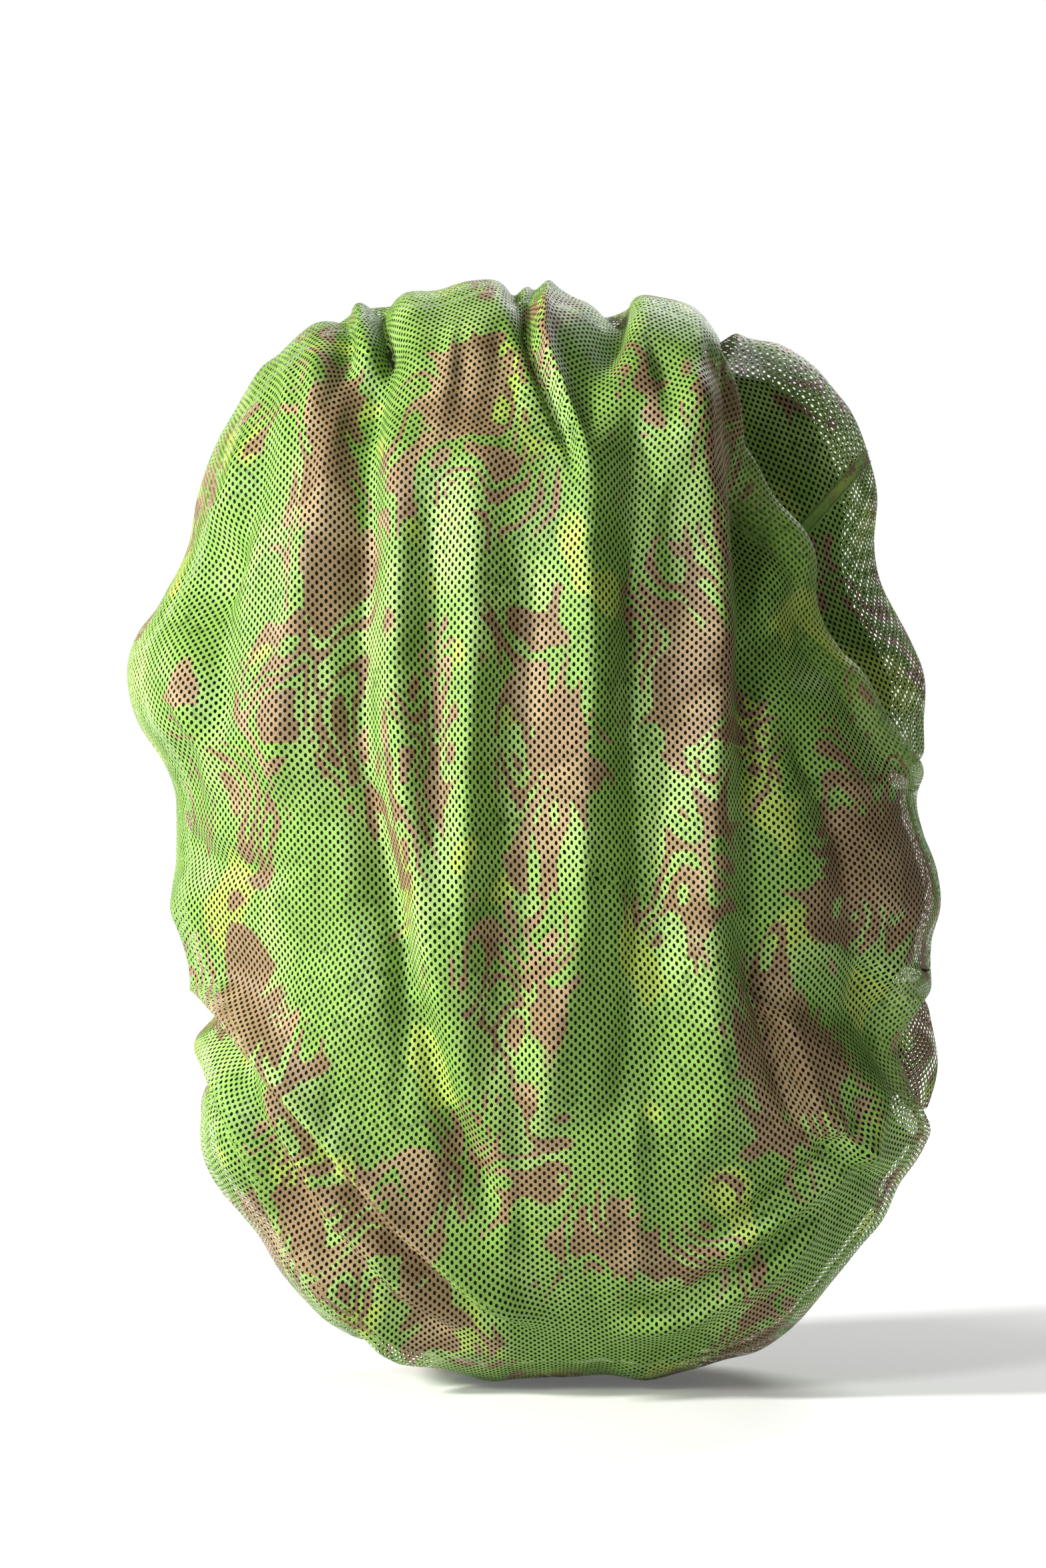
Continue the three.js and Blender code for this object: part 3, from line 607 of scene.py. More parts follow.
def braided(name, colour, fleck, pitch):
    """Braided cord. It reads metres along the cord and turns round it."""
    material, tree, shader = new_material(name, 0.6)
    fill(tree, shader, {"Sheen Weight": 0.15})
    flat = put(tree, "ShaderNodeUVMap", uv_map="weave").outputs[0]
    parts = put(tree, "ShaderNodeSeparateXYZ", flat)
    along = maths(tree, "DIVIDE", parts.outputs[0], pitch)
    around = maths(tree, "MULTIPLY", parts.outputs[1], 6.0)
    strands = []
    for way in ("ADD", "SUBTRACT"):
        phase = maths(tree, "MULTIPLY", maths(tree, way, along, around), 2 * np.pi)
        strands.append(maths(tree, "ABSOLUTE", maths(tree, "SINE", phase)))
    height = maths(tree, "MAXIMUM", strands[0], strands[1])
    marked = above(tree, maths(tree, "SINE", maths(tree, "MULTIPLY", along, 1.6)), 0.93, 0.02)
    # The hollows between the strands are painted darker, down to 0.4 of the colour: painted shade. The
    # marker flecks are the cord's own colour.
    shade = blend_colour(tree, height, tuple(c * 0.4 for c in colour[:3]), colour)
    shade = blend_colour(tree, marked, shade, fleck)
    tree.links.new(shade, shader.inputs["Base Color"])
    raised(tree, shader, height, 0.0003, 0.9)
    return material


# --- Settings ---------------------------------------------------------------------------------


def size(name, description, default, low=0.0):
    return FloatProperty(
        name=name, description=description, default=default, min=low, unit="LENGTH", precision=4
    )


def colour(name, description, default):
    return FloatVectorProperty(
        name=name, description=description, default=default, min=0, max=1, size=3, subtype="COLOR"
    )


class ClothSettings(bpy.types.PropertyGroup):
    """Cloth of the cover"""

    hole_width: size("Hole width", "Width of one perforation", 0.0021, 0.0002)
    hole_height: size("Hole height", "Height of one perforation", 0.0029, 0.0002)
    hole_pitch: size("Hole pitch", "Distance between holes along a row", 0.0055, 0.001)
    hole_row: size("Row gap", "Distance between rows of holes", 0.00268, 0.0005)
    tape_width: size("Seam tape width", "Width of the tape over the seams", 0.010, 0.002)
    fold_depth: FloatProperty(
        name="Fold depth", description="Depth of the folds as a share", default=1.0, min=0, subtype="FACTOR"
    )
    seed: IntProperty(name="Seed", description="Seed of the small creases", default=11)
    green: colour("Green", "Main colour of the print", (0.2, 0.37, 0.06))
    light_green: colour("Light green", "Second green of the print", (0.32, 0.5, 0.13))
    dark_green: colour("Dark green", "Fine lines of the print", (0.09, 0.2, 0.03))
    lime: colour("Lime", "Yellow-green patches", (0.36, 0.5, 0.08))
    brown: colour("Brown", "Brown patches", (0.27, 0.18, 0.085))
    tan: colour("Tan", "Light parts of the brown patches", (0.36, 0.26, 0.13))


class TrimSettings(bpy.types.PropertyGroup):
    """Hem, cord, straps and fittings"""

    stitch_pitch: size("Stitch pitch", "Length of one stitch", 0.0032, 0.001)
    thread: size("Thread", "Thickness of the sewing thread", 0.0006, 0.0001)
    hem: colour("Hem green", "Hem casing and seam tape", (0.17, 0.27, 0.075))
    webbing: colour("Webbing olive", "Straps and patches", (0.105, 0.125, 0.05))
    cord: colour("Cord olive", "Drawcord", (0.085, 0.1, 0.045))
    fleck: colour("Cord fleck", "Marker threads in the cord", (0.3, 0.34, 0.16))
    elastic: colour("Elastic olive", "Strap keeper", (0.08, 0.095, 0.04))
    plastic: colour("Plastic olive", "Buckle and cord lock", (0.05, 0.06, 0.03))
    stitching: colour("Thread olive", "Sewing thread", (0.22, 0.27, 0.11))


class StageSettings(bpy.types.PropertyGroup):
    """Camera, lights and floor"""

    distance: size("Camera distance", "From the camera to the middle of the cover", 3.065, 0.5)
    height: size("Camera height", "Height of the camera", 0.402)
    lens: FloatProperty(
        name="Lens", description="Focal length in millimetres", default=105.4, min=10, unit="CAMERA"
    )
    key: FloatProperty(name="Key light", description="Power of the main light", default=205, unit="POWER")
    sky: FloatProperty(name="Sky light", description="Strength of the light all round", default=0.09)
    floor: colour("Floor", "Colour of the floor", (0.86, 0.86, 0.86))


# --- Cloth ------------------------------------------------------------------------------------


def flat_cut(name, points, quads, guide):
    """Cuts a panel flat with little stretch. Returns its vertices in metres, turned to lie like guide."""
    obj = new_object(name, points, quads)
    bpy.ops.object.select_all(action="DESELECT")
    obj.select_set(True)
    bpy.context.view_layer.objects.active = obj
    obj.data.uv_layers.new(name="cut")
    bpy.ops.object.mode_set(mode="EDIT")
    bpy.ops.mesh.select_all(action="SELECT")
    bpy.ops.uv.unwrap(method="MINIMUM_STRETCH", iterations=12, margin=0)
    bpy.ops.object.mode_set(mode="OBJECT")
    uv = np.empty(len(obj.data.loops) * 2, np.float32)
    obj.data.uv_layers["cut"].data.foreach_get("uv", uv)
    corners = np.empty(len(obj.data.loops), np.int32)
    obj.data.loops.foreach_get("vertex_index", corners)
    flat = np.zeros((len(points), 2))
    flat[corners] = uv.reshape(-1, 2)
    drop(obj)
    a, b, c, d = (points[quads[:, k]] for k in range(4))
    real = np.linalg.norm(np.cross(c - a, d - b), axis=1).sum() / 2
    a, b, c, d = (flat[quads[:, k]] for k in range(4))
    drawn = np.abs((c - a)[:, 0] * (d - b)[:, 1] - (c - a)[:, 1] * (d - b)[:, 0]).sum() / 2
    flat = (flat - flat.mean(0)) * np.sqrt(real / drawn)
    spread = guide - guide.mean(0)
    left, _, right = np.linalg.svd(flat.T @ spread)
    turn = left @ right
    if np.linalg.det(turn) < 0:
        turn = left @ np.diag([1, -1]) @ right
    return untangled(flat @ turn + guide.mean(0), quads)


def untangled(flat, quads):
    """Evens out the few quads of a flat cut that would fold over once the mesh is made finer."""
    for _ in range(80):
        corners = flat[quads]
        ahead, behind = np.roll(corners, -1, 1) - corners, np.roll(corners, 1, 1) - corners
        turn = ahead[..., 0] * behind[..., 1] - ahead[..., 1] * behind[..., 0]
        usual = np.median(turn)
        bad = (turn / usual < 0.15).any(1)
        if not bad.any():
            break
        total, count = np.zeros_like(flat), np.zeros(len(flat))
        for k in range(4):
            np.add.at(total, quads[:, k], flat[quads[:, (k + 1) % 4]] + flat[quads[:, k - 1]])
            np.add.at(count, quads[:, k], 2)
        ids = np.unique(quads[bad])
        ids = ids[count[ids] == 8]
        flat[ids] += 0.5 * (total[ids] / 8 - flat[ids])
    return flat


def brown_bias(points):
    """How far the print leans to brown at each point: up in the broad zones of the face, down between."""
    x, y, z = 1000 * points.T
    zone = np.zeros_like(x)
    for at_x, at_z, half_width, half_height in BROWN_ZONES:
        zone = np.maximum(zone, 1 - ((x - at_x) / half_width) ** 2 - ((z - at_z) / half_height) ** 2)
    return smooth(-y, -60, -20) * (0.16 * zone - 0.04)


def hole_tile(cloth):
    """The cloth between four neighbouring holes, as five quads whose corners all lie on the holes."""
    rx, ry = cloth.hole_width / 2, cloth.hole_height / 2
    px, py = cloth.hole_pitch / 2, cloth.hole_row
    slant = np.sqrt(0.5)
    hole = {
        "N": (0, ry), "NE": (rx * slant, ry * slant), "E": (rx, 0), "SE": (rx * slant, -ry * slant),
        "S": (0, -ry), "SW": (-rx * slant, -ry * slant), "W": (-rx, 0), "NW": (-rx * slant, ry * slant),
    }  # fmt: skip
    below, right, over, left = (0, -py), (px, 0), (0, py), (-px, 0)
    corners = [
        (below, "N"), (below, "NE"), (right, "SW"), (right, "W"), (right, "NW"), (over, "SE"),
        (over, "S"), (over, "SW"), (left, "NE"), (left, "E"), (left, "SE"), (below, "NW"),
    ]  # fmt: skip
    points = [(c[0] + hole[k][0], c[1] + hole[k][1], 0) for c, k in corners]
    faces = [(0, 1, 2, 3), (3, 4, 5, 6), (6, 7, 8, 9), (9, 10, 11, 0), (0, 3, 6, 9)]
    return new_object("hole_tile", points, faces)


def perforation_tree():
    """Lays the tile in staggered rows over the flat cut, and carries it onto the shaped panel."""
    tree = bpy.data.node_groups.new("perforate", "GeometryNodeTree")
    face = tree.interface
    face.new_socket("Geometry", in_out="INPUT", socket_type="NodeSocketGeometry")
    for name, kind in (
        ("Tile", "Object"), ("Pitch", "Float"), ("Row gap", "Float"), ("Columns", "Int"),
        ("Rows", "Int"), ("Low corner", "Vector"), ("Finish", "Material"),
    ):  # fmt: skip
        face.new_socket(name, in_out="INPUT", socket_type="NodeSocket" + kind)
    face.new_socket("Geometry", in_out="OUTPUT", socket_type="NodeSocketGeometry")
    given = tree.nodes.new("NodeGroupInput").outputs
    index = put(tree, "GeometryNodeInputIndex").outputs[0]
    row = maths(tree, "FLOOR", maths(tree, "DIVIDE", index, given["Columns"]))
    column = maths(tree, "SUBTRACT", index, maths(tree, "MULTIPLY", row, given["Columns"]))
    stagger = maths(tree, "MULTIPLY", maths(tree, "MODULO", row, 2.0), 0.5)
    x = maths(tree, "MULTIPLY", maths(tree, "ADD", column, stagger), given["Pitch"])
    y = maths(tree, "MULTIPLY", row, given["Row gap"])
    place = put(tree, "ShaderNodeCombineXYZ", x, y).outputs[0]
    place = put(tree, "ShaderNodeVectorMath", place, given["Low corner"], operation="ADD").outputs[0]
    count = maths(tree, "MULTIPLY", given["Columns"], given["Rows"])
    points = put(tree, "GeometryNodePoints", count, place).outputs[0]
    tile = put(tree, "GeometryNodeObjectInfo", given["Tile"]).outputs["Geometry"]
    laid = put(tree, "GeometryNodeInstanceOnPoints")
    fill(tree, laid, {"Points": points, "Instance": tile})
    cloth = put(tree, "GeometryNodeRealizeInstances", laid).outputs[0]
    merge = put(tree, "GeometryNodeMergeByDistance")
    fill(tree, merge, {"Geometry": cloth, "Distance": MERGE_DISTANCE})
    here = put(tree, "GeometryNodeInputPosition").outputs[0]
    keep = put(tree, "GeometryNodeStoreNamedAttribute", data_type="FLOAT_VECTOR", domain="POINT")
    fill(tree, keep, {"Geometry": merge, "Name": "flat", "Value": here})
    cut = put(tree, "GeometryNodeInputNamedAttribute", "cut", data_type="FLOAT_VECTOR").outputs[0]

    def sampled(value):
        node = put(tree, "GeometryNodeSampleUVSurface", data_type="FLOAT_VECTOR")
        flat = put(tree, "GeometryNodeInputNamedAttribute", "flat", data_type="FLOAT_VECTOR").outputs[0]
        sockets = {"Mesh": given["Geometry"], "Value": value, "Sample UV": flat}
        uv_socket = next(s for s in node.inputs if s.identifier in ("Source UV Map", "UV Map"))
        fill(tree, node, sockets)
        tree.links.new(cut, uv_socket)
        return node

    place_of = put(tree, "GeometryNodeInputNamedAttribute", "place", data_type="FLOAT_VECTOR").outputs[0]
    whole = sampled(here)
    outside = put(tree, "FunctionNodeBooleanMath", whole.outputs["Is Valid"], operation="NOT").outputs[0]
    trimmed = put(tree, "GeometryNodeDeleteGeometry", domain="POINT")
    fill(tree, trimmed, {"Geometry": keep, "Selection": outside})
    marked = put(tree, "GeometryNodeStoreNamedAttribute", data_type="FLOAT_VECTOR", domain="POINT")
    fill(tree, marked, {"Geometry": trimmed, "Name": "place", "Value": sampled(place_of).outputs[0]})
    shaped = put(tree, "GeometryNodeSetPosition")
    fill(tree, shaped, {"Geometry": marked, "Position": sampled(here).outputs[0]})
    finish = put(tree, "GeometryNodeSetMaterial")
    fill(tree, finish, {"Geometry": shaped, "Material": given["Finish"]})
    out = tree.nodes.new("NodeGroupOutput")
    tree.links.new(finish.outputs[0], out.inputs[0])
    return tree


def set_inputs(modifier, values):
    """Sets a node modifier's inputs through their identifiers."""
    for item in modifier.node_group.interface.items_tree:
        if item.in_out == "INPUT" and item.name in values:
            modifier[item.identifier] = values[item.name]


def perforated(panel, cloth, tile, tree, material):
    """Returns the perforated panel's points, flat points, places, and quads grouped by tile."""
    flat = np.empty(len(panel.data.loops) * 2, np.float32)
    panel.data.uv_layers["cut"].data.foreach_get("uv", flat)
    flat = flat.reshape(-1, 2)
    pitch = np.array([cloth.hole_pitch, cloth.hole_row])
    grid = np.array([cloth.hole_pitch, 2 * cloth.hole_row])
    low = np.floor(flat.min(0) / grid - 1) * grid
    counts = np.ceil((flat.max(0) - low) / pitch + 2).astype(int)
    modifier = panel.modifiers.new("perforate", "NODES")
    modifier.node_group = tree
    values = {"Tile": tile, "Pitch": cloth.hole_pitch, "Row gap": cloth.hole_row, "Finish": material}
    values.update({"Columns": int(counts[0]), "Rows": int(counts[1]), "Low corner": (*low, 0.0)})
    set_inputs(modifier, values)
    panel.update_tag()
    mesh = applied(panel).data
    points = read(mesh.vertices, "co", 3)
    flat = read(mesh.attributes["flat"].data, "vector", 3)[:, :2]
    place = read(mesh.attributes["place"].data, "vector", 3)
    quads = np.empty(len(mesh.loops), np.int32)
    mesh.loops.foreach_get("vertex_index", quads)
    quads = quads.reshape(-1, 4)
    drop(panel)
    if len(quads) == 0:
        raise RuntimeError("the perforated panel is empty")
    middle = (flat[quads].mean(1) - low) / grid
    lattice = np.stack([middle[:, 0] + middle[:, 1], middle[:, 0] - middle[:, 1]], 1)
    _, tile_of = np.unique(np.round(lattice).astype(int), axis=0, return_inverse=True)
    tile_of = tile_of.ravel()
    sums = np.zeros((tile_of.max() + 1, 3))
    np.add.at(sums, tile_of, place[quads].mean(1))
    tile_place = sums / np.bincount(tile_of)[:, None]
    return points, flat, quads, tile_place[tile_of]


def set_uv_from(obj, name, source):
    """Copies one UV map of the piece to another name."""
    values = read(obj.data.uv_layers[source].data, "uv", 2)
    layer = obj.data.uv_layers.new(name=name)
    layer.data.foreach_set("uv", values.astype(np.float32).ravel())


def read(collection, key, width):
    """Values of one property over a collection, one row for each item."""
    values = np.empty(len(collection) * width, np.float32)
    collection.foreach_get(key, values)
    return values.reshape(-1, width).astype(float)


def wall_of(turn):
    """Which wall a direction in degrees belongs to."""
    turn = (np.asarray(turn) - WALL_SEAMS[0]) % 360
    edges = [(s - WALL_SEAMS[0]) % 360 for s in WALL_SEAMS[1:]]
    return np.searchsorted(edges, turn, side="right")


class Patchwork:
    """Collects tiles of cloth for each named piece, and makes the pieces."""

    def __init__(self):
        self.parts = {}

    def add(self, name, points, flat, quads):
        used, inverse = np.unique(quads, return_inverse=True)
        self.parts.setdefault(name, []).append((points[used], flat[used], inverse.reshape(-1, 4)))

    def make(self, name):
        points, flats, quads, count = [], [], [], 0
        for p, f, q in self.parts[name]:
            points.append(p)
            flats.append(f)
            quads.append(q + count)
            count += len(p)
        flat = np.concatenate(flats)
        obj = new_object(name, np.concatenate(points), np.concatenate(quads))
        set_uv(obj.data, "cut", flat)
        point_attribute(obj.data, "zone", "FLOAT", brown_bias(np.concatenate(points)))
        return obj


def panel_object(name, shell, quads, flat_by_vertex, ids):
    """A smooth panel of the shell with its flat cut and places, one subdivision finer."""
    place = np.stack([np.cos(shell.turn), np.sin(shell.turn), shell.station], 1)[ids]
    obj = new_object(name, shell.points[ids], quads)
    point_attribute(obj.data, "place", "FLOAT_VECTOR", place)
    set_uv(obj.data, "cut", flat_by_vertex)
    finer = obj.modifiers.new("finer", "SUBSURF")
    finer.levels = finer.render_levels = 1
    finer.boundary_smooth = "PRESERVE_CORNERS"
    finer.uv_smooth = "NONE"
    return applied(obj)


def cloth_pieces(shell, cloth, material):
    """Cuts, perforates and splits the cloth. Returns the pieces by name."""
    tile = hole_tile(cloth)
    tree = perforation_tree()
    work = Patchwork()
    n_face = (FACE_CELLS + 1) ** 2
    ids = np.arange(n_face)
    flat = flat_cut("face_cut", shell.points[ids], shell.face_quads, shell.points[ids][:, [0, 2]])
    panel = panel_object("face_cut", shell, shell.face_quads, flat, ids)
    points, flat, quads, place = perforated(panel, cloth, tile, tree, material)
    side = wall_of(np.degrees(np.arctan2(place[:, 1], place[:, 0])))
    middle_row = np.round(flat[quads].mean(1)[:, 1] / (2 * cloth.hole_row))
    split_row = np.median(middle_row[place[:, 2] <= FACE_EDGE])
    on_face = place[:, 2] <= FACE_EDGE
    work.add("face_cloth_upper", points, flat, quads[on_face & (middle_row > split_row)])
    work.add("face_cloth_lower", points, flat, quads[on_face & (middle_row <= split_row)])
    for k, wall in enumerate(WALLS):
        work.add(wall + "_cloth", points, flat, quads[~on_face & (side == k)])
    columns = wall_of(np.degrees(shell.turn[shell.ring[0]] + np.pi / len(shell.ring[0])))
    for k, wall in enumerate(WALLS):
        picked = shell.ring_quads[:, columns == k].reshape(-1, 4)
        ids, inverse = np.unique(picked, return_inverse=True)
        local = inverse.reshape(-1, 4)
        centre = np.radians((WALL_SEAMS[k] + (WALL_SEAMS + [WALL_SEAMS[0] + 360])[k + 1]) / 2)
        away = (shell.turn[ids] - centre + np.pi) % (2 * np.pi) - np.pi
        # Each wall lies apart from the others in the flat, so that no two have the same print.
        guide = np.stack([0.25 * shell.station[ids], 0.35 * away], 1) + [1.0 + 0.7 * k, 0.3]
        flat = flat_cut(wall + "_cut", shell.points[ids], local, guide)
        panel = panel_object(wall + "_cut", shell, local, flat, ids)
        points, flat, quads, place = perforated(panel, cloth, tile, tree, material)
        inner = place[:, 2] > 1
        work.add(wall + "_cloth", points, flat, quads[~inner])
        work.add(wall.replace("wall", "turn_in") + "_cloth", points, flat, quads[inner])
    drop(tile)
    bpy.data.node_groups.remove(tree)
    return {name: work.make(name) for name in sorted(work.parts)}


def ribbon(name, points, normals, width, thickness, closed=False):
    """A soft-edged tape along a line on the cloth, with metres along and across it."""
    points, normals = np.asarray(points, float), np.asarray(normals, float)
    if closed:
        ahead, behind = np.roll(points, -1, 0), np.roll(points, 1, 0)
    else:
        ahead = np.r_[points[1:], points[-1:]]
        behind = np.r_[points[:1], points[:-1]]
    along = ahead - behind
    along /= np.linalg.norm(along, axis=1, keepdims=True)
    across = np.cross(along, normals)
    across /= np.linalg.norm(across, axis=1, keepdims=True)
    half = np.array([(0.2, 1), (0.46, 0.85), (0.5, 0.35), (0.5, -0.6)])
    shape = np.concatenate([(half * (-1, 1))[::-1], half])
    count = len(shape)
    sideways, up = width * shape[None, :, :1], thickness * shape[None, :, 1:]
    rings = points[:, None] + sideways * across[:, None] + up * normals[:, None]
    n = len(points)
    steps = np.r_[0, np.cumsum(np.linalg.norm(np.diff(points, axis=0), axis=1))]
    uv = np.stack(np.broadcast_arrays(steps[:, None], sideways[..., 0]), -1).reshape(-1, 2)
    k = np.arange(n if closed else n - 1)[:, None] * count
    i = np.arange(count)[None]
    j = (i + 1) % count
    nxt = (k + count) % (n * count)
    quads = np.stack([k + i, k + j, nxt + j, nxt + i], -1).reshape(-1, 4)
    obj = new_object(name, rings.reshape(-1, 3), quads)
    if not closed:
        cap(obj, count)
    set_uv(obj.data, "weave", uv)
    return obj


def cap(obj, count):
    """Closes both open ends of a swept shape whose rings hold count points."""
    total = len(obj.data.vertices)
    made = bmesh.new()
    made.from_mesh(obj.data)
    made.verts.ensure_lookup_table()
    first = [made.verts[i] for i in range(count)]
    last = [made.verts[total - count + i] for i in range(count)]
    made.faces.new(first[::-1])
    made.faces.new(last)
    bmesh.ops.recalc_face_normals(made, faces=made.faces)
    made.to_mesh(obj.data)
    made.free()


def tube(name, path, across_radius, up_radius, sides):
    """A round body along a path that never runs along Y. Radii may change along it or round it."""
    path = np.asarray(path, float)
    ahead = np.r_[path[1:], path[-1:]]
    behind = np.r_[path[:1], path[:-1]]
    along = ahead - behind
    along /= np.linalg.norm(along, axis=1, keepdims=True)
    across = np.cross([0, 1, 0], along)
    across /= np.linalg.norm(across, axis=1, keepdims=True)
    up = np.cross(along, across)
    angle = np.arange(sides) / sides * 2 * np.pi
    a, b = (np.broadcast_to(r, (len(path), sides)) for r in (across_radius, up_radius))
    rings = path[:, None] + (a * np.cos(angle))[..., None] * across[:, None]
    rings += (b * np.sin(angle))[..., None] * up[:, None]
    steps = np.r_[0, np.cumsum(np.linalg.norm(np.diff(path, axis=0), axis=1))]
    uv = np.stack(np.broadcast_arrays(steps[:, None], angle[None] / (2 * np.pi)), -1).reshape(-1, 2)
    k = np.arange(len(path) - 1)[:, None] * sides
    i = np.arange(sides)[None]
    j = (i + 1) % sides
    quads = np.stack([k + i, k + j, k + sides + j, k + sides + i], -1).reshape(-1, 4)
    obj = new_object(name, rings.reshape(-1, 3), quads)
    cap(obj, sides)
    set_uv(obj.data, "weave", uv)
    return obj


def stitch_tree():
    """Lays one stitch after another along the edges of a line, half sunk in the cloth."""
    tree = bpy.data.node_groups.new("stitch", "GeometryNodeTree")
    face = tree.interface
    face.new_socket("Geometry", in_out="INPUT", socket_type="NodeSocketGeometry")
    for name, kind in (("Stitch", "Object"), ("Pitch", "Float"), ("Finish", "Material")):
        face.new_socket(name, in_out="INPUT", socket_type="NodeSocket" + kind)
    face.new_socket("Geometry", in_out="OUTPUT", socket_type="NodeSocketGeometry")
    given = tree.nodes.new("NodeGroupInput").outputs
    curve = put(tree, "GeometryNodeMeshToCurve", given["Geometry"]).outputs[0]
    spaced = put(tree, "GeometryNodeResampleCurve")
    spaced.mode = "LENGTH"
    fill(tree, spaced, {"Curve": curve, "Length": given["Pitch"]})
    tangent = put(tree, "GeometryNodeInputTangent").outputs[0]
    lie = put(tree, "FunctionNodeAlignRotationToVector", axis="X")
    fill(tree, lie, {"Vector": tangent})
    stitch = put(tree, "GeometryNodeObjectInfo", given["Stitch"]).outputs["Geometry"]
    laid = put(tree, "GeometryNodeInstanceOnPoints")
    fill(tree, laid, {"Points": spaced, "Instance": stitch, "Rotation": lie})
    real = put(tree, "GeometryNodeRealizeInstances", laid).outputs[0]
    finish = put(tree, "GeometryNodeSetMaterial")
    fill(tree, finish, {"Geometry": real, "Material": given["Finish"]})
    out = tree.nodes.new("NodeGroupOutput")
    tree.links.new(finish.outputs[0], out.inputs[0])
    return tree


def thread_material(trim):
    material, tree, shader = new_material("sewing_thread", 0.55)
    place = own_place(tree)
    twist = speckle(tree, place, 1500.0, 1.0)
    dark = tuple(c * 0.6 for c in trim.stitching)
    tree.links.new(blend_colour(tree, twist, dark, tuple(trim.stitching)), shader.inputs["Base Color"])
    raised(tree, shader, twist, 0.0001, 0.6)
    return material


def stitched(name, lines, trim, material):
    """Stitches along each line of points, as one piece on the cover."""
    points, edges = [], []
    for line in lines:
        start = len(points)
        points += [tuple(p) for p in line]
        edges += [(start + k, start + k + 1) for k in range(len(line) - 1)]
    mesh = bpy.data.meshes.new(name)
    mesh.from_pydata(points, edges, [])
    obj = bpy.data.objects.new(name, mesh)
    bpy.context.scene.collection.objects.link(obj)
    half, radius = trim.stitch_pitch * 0.4, trim.thread / 2
    xs = np.array([-1, -0.8, 0, 0.8, 1]) * half
    arc = np.stack([xs, 0 * xs, radius * (1 - (xs / half) ** 4)], 1)
    stitch = tube("one_stitch", arc, radius, radius, 6)
    tree = stitch_tree()
    modifier = obj.modifiers.new("stitch", "NODES")
    modifier.node_group = tree
    set_inputs(modifier, {"Stitch": stitch, "Pitch": trim.stitch_pitch, "Finish": material})
    obj.update_tag()
    applied(obj)
    drop(stitch)
    bpy.data.node_groups.remove(tree)
    obj.data.polygons.foreach_set("use_smooth", np.ones(len(obj.data.polygons), bool))
    return finish_piece(obj, material, "cover")


CAMERA_X = -0.009
SENSOR_WIDTH = 36  # millimetres
FLOOR_RINGS = (0.5, 2, 8)  # metres

shells = {}


def current_shell():
    """The folded shell, made once and shared by the steps."""
    if "shell" not in shells:
        cloth = bpy.context.scene.cover_cloth
        shells["shell"] = Shell(cloth.fold_depth, cloth.seed)
    return shells["shell"]


# --- Operators --------------------------------------------------------------------------------


